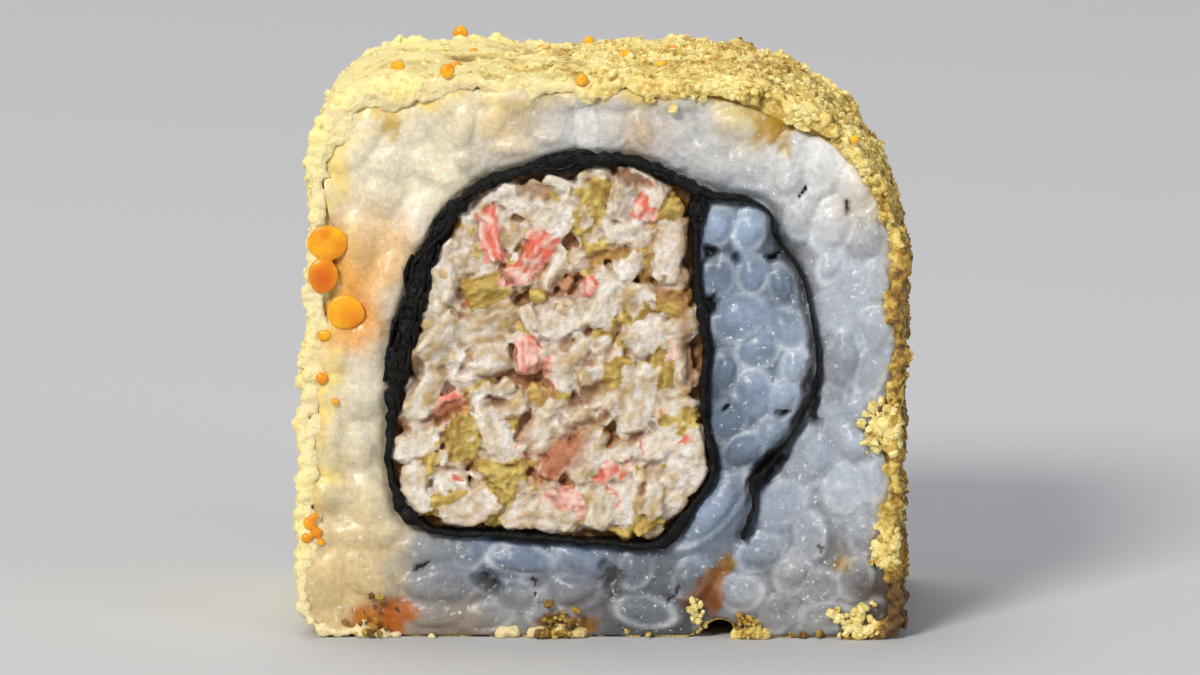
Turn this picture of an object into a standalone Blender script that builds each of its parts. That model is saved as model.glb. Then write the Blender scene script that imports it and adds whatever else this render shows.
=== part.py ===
"""Uramaki roll: one cut piece, standing on its coated side with a cut face to the front.

Every size below is in millimetres, and the finished meshes are scaled to metres once.
X runs to the right across the front cut face, Y from the front cut face to the back one,
and Z up. The origin is the middle of the foot.
"""

import math
import random

import bmesh
import bpy
from mathutils import Matrix, Vector, noise

MM = 0.001

# Whole piece
HEIGHT = 38.0
RICE_CORE_HALF_DEPTH = 10.8
FACE_HALF_DEPTH = 12.0
GAP = 0.3
BEYOND = 4.0

# Outer outline: corners as (x, z, radius), clockwise from the foot's left end
BLOCK_CORNERS = (
    (-20.3, 0.0, 3.0),
    (-19.0, HEIGHT, 5.5),
    (20.8, HEIGHT, 13.4),
    (20.3, 0.0, 2.2),
)
OUTLINE_STEP = 1.9

# Crumb coat: its thickness grows with height, and thickens at the lumps
COAT_AT_FOOT = 0.75
COAT_AT_TOP = 1.7
# Lumps as (x, z, extra thickness, spread)
COAT_LUMPS = (
    (-20.0, 25.5, 2.3, 4.0),
    (-19.8, 7.3, 1.3, 2.0),
    (-15.5, 0.0, 1.8, 2.6),
    (-0.6, 0.0, 0.9, 2.2),
    (7.4, 0.0, 2.6, 1.5),
    (12.5, 37.0, 1.6, 4.5),
    (20.6, 14.4, 2.2, 1.9),
    (20.3, 6.6, 1.3, 2.4),
)
COAT_HALF_DEPTH = 11.6
COAT_RELIEF = 0.75
COAT_RELIEF_PITCH = 3.2
COAT_BANDS = 6
# The foot's arched notch, as its middle, its half width and its lift
NOTCH_X = 8.3
NOTCH_HALF_WIDTH = 2.3
NOTCH_LIFT = 1.3
NOTCH_STEPS = 6
NOTCH_MARGIN = 0.5
ROE_SIZE = 1.15
# Roe that shows, as (x, z) on the outline's front or (x, y) on the top
ROE_ON_LEFT = ((-19.3, 26.6, 1.25), (-18.8, 24.7, 1.1), (-17.6, 22.6, 1.3), (-19.4, 7.4, 1.2))
ROE_ON_TOP = ((-10.4, -10.0), (-1.2, -9.6), (3.5, 6.0), (-6.0, 3.0), (9.0, -3.0), (-14.0, 7.0))
FLAKE_COUNT = 66
FLAKE_SIZE = 1.9
FLAKES_ABOVE = 3.0

# Nori: one sheet, from its end inside the fold to its end under the rice tongue
NORI_THICKNESS = 0.45
NORI_PROUD = 0.15
NORI_ROUTE = (
    (6.7, 29.2),
    (6.7, 24.0),
    (7.3, 20.0),
    (7.1, 15.5),
    (7.9, 11.6),
    (6.2, 8.8),
    (4.2, 6.5),
    (0.4, 6.6),
    (-6.0, 7.1),
    (-11.2, 7.5),
    (-13.5, 9.6),
    (-14.3, 13.6),
    (-13.3, 20.0),
    (-11.4, 26.3),
    (-8.6, 30.1),
    (-4.0, 32.1),
    (2.0, 32.6),
    (6.6, 30.6),
    (10.4, 30.0),
    (11.9, 28.2),
    (13.6, 24.2),
    (14.8, 18.6),
    (13.8, 13.8),
    (10.9, 9.8),
    (10.0, 7.2),
)
NORI_STEP = 1.35
NORI_FRAY = 0.22
NORI_END_GAP = 2.2 * GAP
# Where the sheet is crumpled double, as (x, z, extra thickness, spread)
NORI_CRUMPLES = ((-13.6, 17.5, 1.0, 5.0), (-7.5, 30.8, 0.7, 4.5), (2.5, 32.4, 0.35, 3.0))
# The route's first point to this one closes round the filling
LOOP_CLOSES_AT = 17

# Rice grains: each shows as an oval, from a round end to its whole length
GRAIN_LENGTHS = (3.0, 3.3, 3.8, 4.8, 5.6)
GRAIN_WIDTH = 2.7
GRAIN_THICKNESS = 2.6
GRAIN_SPACING = 3.2
GRAIN_JITTER = 0.4
GRAIN_SHIFT = 1.3
GRAIN_TRIES = 8
GRAIN_ROOM_AT_EDGE = 0.7
GRAIN_ROOM_AT_NORI = 0.6
GRAIN_LEAN = 0.25
GRAIN_SUNK = 0.35
GRAIN_SEGMENTS = 8
GRAIN_RINGS = 4
GRAIN_SEED = 11
CORE_MARGIN = 1.0

# Chopped filling: kinds of piece as (shortest, longest), (narrowest, widest), depth
CHUNK_KINDS = {
    "stick": ((4.2, 5.6), (1.9, 2.5), 2.2),
    "flake": ((3.2, 4.4), (2.6, 3.4), 2.0),
    "crumb": ((2.25, 3.75), (2.5, 2.5), 2.75),
}
CHUNK_SPACING = 3.45
CHUNK_JITTER = 0.7
CHUNK_ROOM = 1.2
CHUNK_LEAN = 0.35
CHUNK_UNEVEN = 0.35
CHUNK_SUNK = 1.1
CHUNK_SEED = 23
FILLING_CORE_HALF_DEPTH = 10.4


def smooth_curve(points, step):
    """Points a step apart along a smooth curve through the given ones."""
    route = [Vector(p) for p in points]
    route = [2 * route[0] - route[1], *route, 2 * route[-1] - route[-2]]
    fine = []
    for a, b, c, d in zip(route, route[1:], route[2:], route[3:]):
        pieces = 12
        for i in range(pieces):
            t = i / pieces
            fine.append(
                0.5 * (2 * b + (c - a) * t + (2 * a - 5 * b + 4 * c - d) * t**2
                       + (3 * b - a - 3 * c + d) * t**3)
            )
    fine.append(route[-2])
    return resampled(fine, step)


def resampled(points, step):
    """The same open line with its points evenly apart, about a step each."""
    lengths = [0.0]
    for a, b in zip(points, points[1:]):
        lengths.append(lengths[-1] + (b - a).length)
    count = max(2, round(lengths[-1] / step))
    even = []
    at = 0
    for i in range(count + 1):
        wanted = lengths[-1] * i / count
        while at < len(points) - 2 and lengths[at + 1] < wanted:
            at += 1
        share = (wanted - lengths[at]) / (lengths[at + 1] - lengths[at])
        even.append(points[at].lerp(points[at + 1], share))
    return even


def bump(x, z, places):
    """The sum of the smooth bumps at these places, each (x, z, height, spread)."""
    return sum(
        height * math.exp(-((x - px) ** 2 + (z - pz) ** 2) / (2 * spread**2))
        for px, pz, height, spread in places
    )


def block_outline():
    """The roll's outer outline: straight sides with rounded corners, evenly stepped."""
    corners = [(Vector((x, z)), radius) for x, z, radius in BLOCK_CORNERS]
    line = []
    for i, (corner, radius) in enumerate(corners):
        before = (corners[i - 1][0] - corner).normalized()
        after = (corners[(i + 1) % len(corners)][0] - corner).normalized()
        half_turn = before.angle(after) / 2
        centre = corner + (before + after).normalized() * radius / math.sin(half_turn)
        start = corner + before * radius / math.tan(half_turn) - centre
        end = corner + after * radius / math.tan(half_turn) - centre
        sweep = start.angle_signed(end)
        arc_steps = 12
        for k in range(arc_steps + 1):
            turn = -sweep * k / arc_steps
            line.append(centre + Matrix.Rotation(turn, 2) @ start)
    line.append(line[0].copy())
    return with_notch_points(resampled(line, OUTLINE_STEP)[:-1])


def with_notch_points(loop):
    """The outline with closer points over the foot's notch, where it runs right to left."""
    reach = NOTCH_HALF_WIDTH + NOTCH_MARGIN
    loop = [p for p in loop if p.y > NOTCH_MARGIN or abs(p.x - NOTCH_X) > reach]
    top = max(range(len(loop)), key=lambda i: loop[i].y)
    place = next(i for i in range(top, len(loop)) if loop[i].y < NOTCH_MARGIN and loop[i].x < NOTCH_X)
    arch = [
        Vector((NOTCH_X + NOTCH_HALF_WIDTH * (1 - 2 * k / NOTCH_STEPS), 0.0))
        for k in range(NOTCH_STEPS + 1)
    ]
    return loop[:place] + arch + loop[place:]


def outward_normals(loop):
    """Unit normals of a clockwise closed loop, pointing out of it."""
    normals = []
    for i in range(len(loop)):
        along = loop[(i + 1) % len(loop)] - loop[i - 1]
        normals.append(Vector((-along.y, along.x)).normalized())
    return normals


def coat_thickness(x, z):
    share = min(1.0, max(0.0, z / HEIGHT))
    return COAT_AT_FOOT + (COAT_AT_TOP - COAT_AT_FOOT) * share + bump(x, z, COAT_LUMPS)


def notch_lift(x):
    """How far the foot's outline is raised over its notch."""
    across = (x - NOTCH_X) / NOTCH_HALF_WIDTH
    return NOTCH_LIFT * (1 - across**2) ** 2 if abs(across) < 1 else 0.0


def rice_outline():
    """The rice's outer outline, a gap inside the coat."""
    loop = block_outline()
    inner = []
    for point, normal in zip(loop, outward_normals(loop)):
        inner.append(point - normal * (coat_thickness(point.x, point.y) + GAP))
    for point in inner:
        point.y = max(point.y, notch_lift(point.x) + COAT_AT_FOOT + GAP)
    return inner


def nori_line():
    return smooth_curve(NORI_ROUTE, NORI_STEP)


def band(line, margin, end_margin):
    """The closed outline of the nori sheet's section, grown by a margin."""
    line = [p.copy() for p in line]
    line[0] += (line[0] - line[1]).normalized() * end_margin
    line[-1] += (line[-1] - line[-2]).normalized() * end_margin
    sides = ([], [])
    for i, point in enumerate(line):
        along = line[min(i + 1, len(line) - 1)] - line[max(i - 1, 0)]
        across = Vector((-along.y, along.x)).normalized()
        half = (NORI_THICKNESS + bump(point.x, point.y, NORI_CRUMPLES)) / 2 + margin
        sides[0].append(point + across * half)
        sides[1].append(point - across * half)
    return sides[0] + sides[1][::-1]


def loop_outline():
    """The sheet's middle line where it closes round the filling."""
    return smooth_curve(NORI_ROUTE[: LOOP_CLOSES_AT + 1], NORI_STEP)


def to_object(name, bm):
    mesh = bpy.data.meshes.new(name)
    bm.normal_update()
    bm.to_mesh(mesh)
    bm.free()
    return bpy.data.objects.new(name, mesh)


def linked(obj):
    bpy.context.scene.collection.objects.link(obj)
    return obj


def prism(name, outline, front, back):
    """An outline in X and Z, extruded along Y."""
    bm = bmesh.new()
    verts = [bm.verts.new((p.x, front, p.y)) for p in outline]
    face = bm.faces.new(verts)
    made = bmesh.ops.extrude_face_region(bm, geom=[face])
    moved = [v for v in made["geom"] if isinstance(v, bmesh.types.BMVert)]
    bmesh.ops.translate(bm, verts=moved, vec=(0, back - front, 0))
    bmesh.ops.recalc_face_normals(bm, faces=bm.faces)
    return linked(to_object(name, bm))


def boolean(base, operation, solver="EXACT", other=None, collection=None):
    """Applies one Boolean to base and removes what it was given."""
    modifier = base.modifiers.new(operation.title(), "BOOLEAN")
    modifier.operation = operation
    modifier.solver = solver
    if collection:
        modifier.operand_type = "COLLECTION"
        modifier.collection = collection
    else:
        modifier.object = other
    bpy.context.view_layer.update()
    graph = bpy.context.evaluated_depsgraph_get()
    result = bpy.data.meshes.new_from_object(base.evaluated_get(graph))
    base.modifiers.remove(modifier)
    base.data = result
    for used in list(collection.objects) if collection else [other]:
        bpy.data.objects.remove(used)
    if collection:
        bpy.data.collections.remove(collection)


def fuse(base, pieces):
    """Joins every piece to base with one union on a collection."""
    group = bpy.data.collections.new(base.name + "_pieces")
    bpy.context.scene.collection.children.link(group)
    for piece in pieces:
        group.objects.link(piece)
    boolean(base, "UNION", collection=group)


def drop_scraps(obj):
    """Keeps the widest body of a mesh, and drops what a trim has cut loose."""
    bm = bmesh.new()
    bm.from_mesh(obj.data)
    left = set(bm.verts)
    bodies = []
    while left:
        body = set()
        edge = {next(iter(left))}
        while edge:
            body |= edge
            edge = {e.other_vert(v) for v in edge for e in v.link_edges} - body
        left -= body
        bodies.append(body)
    widest = max(bodies, key=lambda body: spread([v.co for v in body]))
    bmesh.ops.delete(bm, geom=[v for v in bm.verts if v not in widest], context="VERTS")
    bm.to_mesh(obj.data)
    bm.free()


def spread(points):
    """The diagonal of the points' box."""
    low = Vector([min(p[i] for p in points) for i in range(3)])
    high = Vector([max(p[i] for p in points) for i in range(3)])
    return (high - low).length


def inside(point, outline):
    """Whether a point in X and Z lies within a closed outline."""
    crossings = False
    for a, b in zip(outline, outline[1:] + outline[:1]):
        if (a.y > point.y) != (b.y > point.y):
            if point.x < a.x + (b.x - a.x) * (point.y - a.y) / (b.y - a.y):
                crossings = not crossings
    return crossings


def clearance(point, outline):
    """The distance from a point to the nearest side of a closed outline."""
    nearest = math.inf
    for a, b in zip(outline, outline[1:] + outline[:1]):
        side = b - a
        share = max(0.0, min(1.0, (point - a).dot(side) / side.length_squared))
        nearest = min(nearest, (a + side * share - point).length)
    return nearest


def hex_places(spacing, jitter, draw):
    """Points of an uneven honeycomb over the whole section."""
    places = []
    row_step = spacing * math.sqrt(3) / 2
    for row in range(round(HEIGHT / row_step) + 1):
        for column in range(-8, 9):
            x = (column + 0.5 * (row % 2)) * spacing + draw.uniform(-jitter, jitter)
            z = row * row_step + draw.uniform(-jitter, jitter)
            places.append(Vector((x, z)))
    return places


def grain(name, place, side, draw):
    """One rice grain, end-on or lying in the cut face."""
    bm = bmesh.new()
    bmesh.ops.create_uvsphere(
        bm, u_segments=GRAIN_SEGMENTS, v_segments=GRAIN_RINGS, radius=0.5
    )
    size = draw.uniform(0.92, 1.08)
    length = draw.choice(GRAIN_LENGTHS)
    bmesh.ops.scale(
        bm,
        verts=bm.verts,
        vec=(GRAIN_WIDTH * size, GRAIN_THICKNESS * size, length * size),
    )
    turn = Matrix.Rotation(draw.uniform(0, math.pi), 3, "Y")
    lean = Matrix.Rotation(draw.uniform(-GRAIN_LEAN, GRAIN_LEAN), 3, "X")
    bmesh.ops.rotate(bm, verts=bm.verts, matrix=turn @ lean)
    reach = max(abs(v.co.y) for v in bm.verts)
    depth = side * (FACE_HALF_DEPTH - draw.uniform(0.0, GRAIN_SUNK) - reach)
    bmesh.ops.translate(bm, verts=bm.verts, vec=(place.x, depth, place.y))
    return to_object(name, bm)


def chunk(name, place, side, draw):
    """One chopped piece of the filling: a flake, a short stick or a crumb."""
    bm = bmesh.new()
    kind = draw.choice(list(CHUNK_KINDS))
    lengths, widths, depth = CHUNK_KINDS[kind]
    if kind == "crumb":
        bmesh.ops.create_icosphere(bm, subdivisions=1, radius=0.5)
    else:
        bmesh.ops.create_cube(bm, size=1.0)
    size = (draw.uniform(*lengths), depth, draw.uniform(*widths))
    bmesh.ops.scale(bm, verts=bm.verts, vec=size)
    for vert in bm.verts:
        vert.co += Vector([draw.uniform(-CHUNK_UNEVEN, CHUNK_UNEVEN) for _ in range(3)])
    turn = Matrix.Rotation(draw.uniform(0, math.pi), 3, "Y")
    tip = Matrix.Rotation(draw.uniform(-CHUNK_LEAN, CHUNK_LEAN), 3, "X")
    bmesh.ops.rotate(bm, verts=bm.verts, matrix=turn @ tip)
    reach = max(abs(v.co.y) for v in bm.verts)
    face = side * (FACE_HALF_DEPTH - draw.uniform(0.0, CHUNK_SUNK) - reach)
    bmesh.ops.translate(bm, verts=bm.verts, vec=(place.x, face, place.y))
    bmesh.ops.triangulate(bm, faces=bm.faces)
    return to_object(name, bm)


def nori_channel():
    """The cutter that keeps every other piece a gap away from the sheet."""
    deep = FACE_HALF_DEPTH + BEYOND
    return prism("nori_channel", band(nori_line(), GAP, NORI_END_GAP), -deep, deep)


def make_nori():
    reach = FACE_HALF_DEPTH + NORI_PROUD
    sheet = prism("nori", band(nori_line(), 0.0, 0.0), -reach, reach)
    draw = random.Random(5)
    for vert in sheet.data.vertices:
        vert.co.y += draw.uniform(-NORI_FRAY, NORI_FRAY)
    return sheet


def free_place(place, outline, loop, sheet, draw):
    """The place, or one close by, that lies in the rice and clear of its edges."""
    for attempt in range(GRAIN_TRIES):
        reach = GRAIN_SHIFT * attempt / GRAIN_TRIES
        tried = place + Vector((draw.uniform(-reach, reach), draw.uniform(-reach, reach)))
        if not inside(tried, outline) or inside(tried, loop) or inside(tried, sheet):
            continue
        at_edge = clearance(tried, outline) < GRAIN_ROOM_AT_EDGE
        at_nori = clearance(tried, sheet) < GRAIN_ROOM_AT_NORI
        if not at_edge and not at_nori:
            return tried
    return None


def make_rice():
    outline = rice_outline()
    core = grown(outline, CORE_MARGIN)
    rice = prism("rice", core, -RICE_CORE_HALF_DEPTH, RICE_CORE_HALF_DEPTH)
    sheet = band(nori_line(), GAP, NORI_END_GAP)
    loop = loop_outline()
    draw = random.Random(GRAIN_SEED)
    grains = []
    for side in (-1, 1):
        for place in hex_places(GRAIN_SPACING, GRAIN_JITTER, draw):
            place = free_place(place, outline, loop, sheet, draw)
            if place:
                grains.append(grain(f"grain_{len(grains)}", place, side, draw))
    fuse(rice, grains)
    deep = FACE_HALF_DEPTH + BEYOND
    boolean(rice, "INTERSECT", other=prism("rice_envelope", outline, -deep, deep))
    boolean(rice, "DIFFERENCE", other=prism("loop_cutter", loop, -deep, deep))
    boolean(rice, "DIFFERENCE", other=nori_channel())
    drop_scraps(rice)
    return rice


def make_filling():
    loop = loop_outline()
    core = FILLING_CORE_HALF_DEPTH
    filling = prism("filling", loop, -core, core)
    draw = random.Random(CHUNK_SEED)
    chunks = []
    for side in (-1, 1):
        for place in hex_places(CHUNK_SPACING, CHUNK_JITTER, draw):
            if inside(place, loop) and clearance(place, loop) > CHUNK_ROOM:
                chunks.append(chunk(f"chunk_{len(chunks)}", place, side, draw))
    fuse(filling, chunks)
    boolean(filling, "DIFFERENCE", other=nori_channel())
    drop_scraps(filling)
    return filling


def coat_block():
    """The roll's whole outline, extruded in bands whose rims are uneven."""
    outline = block_outline()
    normals = outward_normals(outline)
    bm = bmesh.new()
    ends = COAT_HALF_DEPTH
    face = bm.faces.new([bm.verts.new((p.x, -ends, p.y)) for p in outline])
    for _ in range(COAT_BANDS):
        made = bmesh.ops.extrude_face_region(bm, geom=[face])
        moved = [v for v in made["geom"] if isinstance(v, bmesh.types.BMVert)]
        face = next(f for f in made["geom"] if isinstance(f, bmesh.types.BMFace))
        bmesh.ops.translate(bm, verts=moved, vec=(0, 2 * ends / COAT_BANDS, 0))
    for vert in bm.verts:
        point = Vector((vert.co.x, vert.co.z))
        nearest = min(range(len(outline)), key=lambda i: (outline[i] - point).length)
        height = noise.noise(vert.co / COAT_RELIEF_PITCH) * COAT_RELIEF
        vert.co.x += normals[nearest].x * height
        vert.co.z += normals[nearest].y * height
        if point.y < 0.2:
            vert.co.z = notch_lift(point.x)
        vert.co.z = max(vert.co.z, 0.0)
    bmesh.ops.delete(bm, geom=[f for f in bm.faces if interior(f, ends)], context="FACES_ONLY")
    bmesh.ops.recalc_face_normals(bm, faces=bm.faces)
    return linked(to_object("crumb_coat", bm))


def interior(face, ends):
    """Whether a face is one of the caps left inside the block between two bands."""
    depths = [v.co.y for v in face.verts]
    return max(depths) - min(depths) < 0.01 and abs(abs(depths[0]) - ends) > 0.01


def flake(name, centre, size, draw):
    """A crumb or a bead of roe, fused to the coat."""
    bm = bmesh.new()
    bmesh.ops.create_icosphere(bm, subdivisions=1, radius=size / 2)
    stretch = [draw.uniform(0.75, 1.15) for _ in range(3)]
    bmesh.ops.scale(bm, verts=bm.verts, vec=stretch)
    for vert in bm.verts:
        vert.co *= draw.uniform(0.85, 1.1)
    bmesh.ops.translate(bm, verts=bm.verts, vec=centre)
    return to_object(name, bm)


def make_coat():
    coat = coat_block()
    outline = block_outline()
    normals = outward_normals(outline)
    draw = random.Random(7)
    pieces = []
    for x, z, swell in ROE_ON_LEFT:
        pieces.append(
            flake(f"roe_{len(pieces)}", (x, -COAT_HALF_DEPTH + 0.2, z), ROE_SIZE * swell, draw)
        )
    for x, y in ROE_ON_TOP:
        pieces.append(flake(f"roe_{len(pieces)}", (x, y, HEIGHT - 0.1), ROE_SIZE, draw))
    upper = [i for i, p in enumerate(outline) if p.y > FLAKES_ABOVE]
    for k in range(FLAKE_COUNT):
        i = upper[k * len(upper) // FLAKE_COUNT]
        size = FLAKE_SIZE * draw.uniform(0.6, 1.15)
        x, z = outline[i] - normals[i] * draw.uniform(0.05, 0.3) * size
        rim = COAT_HALF_DEPTH - 0.3 * size
        y = draw.choice((-rim, rim, draw.uniform(-rim, rim)))
        pieces.append(flake(f"flake_{k}", (x, y, z), size, draw))
    fuse(coat, pieces)
    deep = FACE_HALF_DEPTH + BEYOND
    inner = grown(rice_outline(), GAP)
    boolean(coat, "DIFFERENCE", other=prism("rice_cutter", inner, -deep, deep))
    drop_scraps(coat)
    return coat


def grown(loop, margin):
    return [p + n * margin for p, n in zip(loop, outward_normals(loop))]


def finish(obj, colour, roughness, smooth_below):
    """Scales a piece to metres and gives it its material."""
    obj.data.transform(Matrix.Scale(MM, 4))
    obj.data.shade_smooth()
    obj.data.set_sharp_from_angle(angle=math.radians(smooth_below))
    material = bpy.data.materials.new(obj.name)
    material.use_nodes = True
    shader = material.node_tree.nodes["Principled BSDF"]
    shader.inputs["Base Color"].default_value = (*colour, 1.0)
    shader.inputs["Roughness"].default_value = roughness
    shader.inputs["Metallic"].default_value = 0.0
    obj.data.materials.clear()
    obj.data.materials.append(material)


def main():
    for old in list(bpy.data.objects):
        bpy.data.objects.remove(old)
    finish(make_rice(), colour=(0.60, 0.58, 0.52), roughness=0.35, smooth_below=50)
    finish(make_nori(), colour=(0.006, 0.005, 0.005), roughness=0.45, smooth_below=30)
    finish(make_filling(), colour=(0.60, 0.50, 0.36), roughness=0.5, smooth_below=30)
    finish(make_coat(), colour=(0.78, 0.58, 0.20), roughness=0.6, smooth_below=40)


main()
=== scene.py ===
"""Uramaki roll: the finish of one cut piece, laid out as a Blender add-on and run as a script.

Shapes are worked out in millimetres and scaled to metres once, in the frame of the packed
solids: X to the right across the front cut face, Y from the front face to the back, Z up.
"""

import math
import random

import bmesh
import bpy
import numpy as np
from bpy.props import FloatProperty, FloatVectorProperty, IntProperty, PointerProperty
from mathutils import Matrix, Vector, noise


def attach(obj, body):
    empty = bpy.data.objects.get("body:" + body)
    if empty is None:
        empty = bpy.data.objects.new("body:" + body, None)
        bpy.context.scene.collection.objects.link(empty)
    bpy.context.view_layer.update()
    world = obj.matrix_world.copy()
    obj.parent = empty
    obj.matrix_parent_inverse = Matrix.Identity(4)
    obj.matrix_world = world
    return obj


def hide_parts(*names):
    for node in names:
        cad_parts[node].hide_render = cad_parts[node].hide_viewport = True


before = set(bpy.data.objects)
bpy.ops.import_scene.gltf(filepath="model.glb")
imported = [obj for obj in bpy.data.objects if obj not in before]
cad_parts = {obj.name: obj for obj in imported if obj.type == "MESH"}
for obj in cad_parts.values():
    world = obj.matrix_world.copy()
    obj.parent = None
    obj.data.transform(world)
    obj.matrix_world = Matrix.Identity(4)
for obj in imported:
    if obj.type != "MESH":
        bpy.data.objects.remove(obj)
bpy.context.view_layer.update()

bl_info = {
    "name": "Uramaki Roll",
    "version": (1, 0, 0),
    "blender": (4, 5, 0),
    "location": "View3D > Sidebar > Uramaki",
    "description": "Builds the rice, nori, filling, crumb coat and roe of a cut uramaki roll",
    "category": "Object",
}

MM = 0.001
SEEDS = {
    "rice_front": 3,
    "rice_back": 19,
    "back_grains": 17,
    "nori": 5,
    "filling": 31,
    "coat": 71,
    "crumbs": 72,
    "batter": 81,
    "roe": 13,
}

# The whole piece, as in the solids
HEIGHT = 38.0
FACE = 12.0
LOWEST = 0.02
BLOCK_CORNERS = ((-20.3, 0.0, 3.0), (-19.0, HEIGHT, 5.5), (20.8, HEIGHT, 13.4), (20.3, 0.0, 2.2))

# Crumb coat: thickness by height, and lumps as (x, z, extra thickness, spread)
COAT_AT_FOOT = 0.75
COAT_AT_TOP = 1.7
COAT_LUMPS = (
    (-20.0, 25.5, 2.3, 4.0),
    (-19.8, 7.3, 1.3, 2.0),
    (-15.5, 0.0, 1.8, 2.6),
    (-0.6, 0.0, 0.9, 2.2),
    (7.4, 0.0, 2.6, 1.5),
    (12.5, 37.0, 1.6, 4.5),
    (20.6, 14.4, 2.2, 1.9),
    (20.3, 6.6, 1.3, 2.4),
)

# Coat and batter: depth, relief, the cells they are fused with, and the notch under the foot
COAT_HALF_DEPTH = 11.6
COAT_RELIEF = 0.75
COAT_RELIEF_PITCH = 3.2
COAT_DEEPEST = -0.3
COAT_SKIN = 0.7
COAT_STEP = 0.24
COAT_THINNING = 0.05
BATTER_STEP = 0.16
NOTCH_X = 8.3
NOTCH_HALF_WIDTH = 2.3
NOTCH_LIFT = 1.3

# Nori: the sheet's route as (x, z), and where it is crumpled as (x, z, extra thickness, spread)
NORI_ROUTE = (
    (6.7, 29.2), (6.7, 24.0), (7.3, 20.0), (7.1, 15.5), (7.9, 11.6), (6.2, 8.8), (4.2, 6.5),
    (0.4, 6.6), (-6.0, 7.1), (-11.2, 7.5), (-13.4, 9.6), (-14.0, 13.6), (-13.1, 20.0),
    (-11.4, 26.3), (-8.6, 30.1), (-4.0, 32.1), (2.0, 32.6), (6.6, 30.6), (8.6, 30.1),
    (10.6, 29.8), (11.7, 28.9), (11.9, 27.4), (13.5, 25.3), (14.3, 22.4), (14.8, 18.8),
    (14.4, 16.4), (13.4, 14.5), (11.9, 12.3), (10.6, 10.6), (10.5, 8.8), (9.8, 6.9),
)
NORI_INNER_END = (6.9, 30.2)
NORI_CRUMPLES = (
    (-13.1, 20.5, 1.25, 3.2), (-11.6, 25.4, 0.5, 1.8), (-8.8, 29.9, 0.6, 2.2),
    (-2.0, 32.3, 0.8, 1.9), (4.6, 31.5, 0.45, 1.8), (7.0, 29.3, 0.9, 0.7), (-12.9, 8.7, 0.7, 0.7),
    (5.2, 7.2, 0.5, 1.1), (7.2, 22.6, 0.4, 0.6), (10.8, 10.9, 0.4, 0.6),
)

# Nori: step along it, half its thickness, how it swells and stretches, and its groove in the rice
NORI_STEP = 0.24
NORI_HALF = 0.21
NORI_SWELL = 0.45
NORI_STRETCH = 0.58
STRAND_HALF = 0.15
NORI_GROOVE = 0.35
LOOP_CLOSES_AT = 17

# Steps along the outlines of the block and of the cores
OUTLINE_STEP = 0.6
CORE_STEP = 0.8

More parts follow.
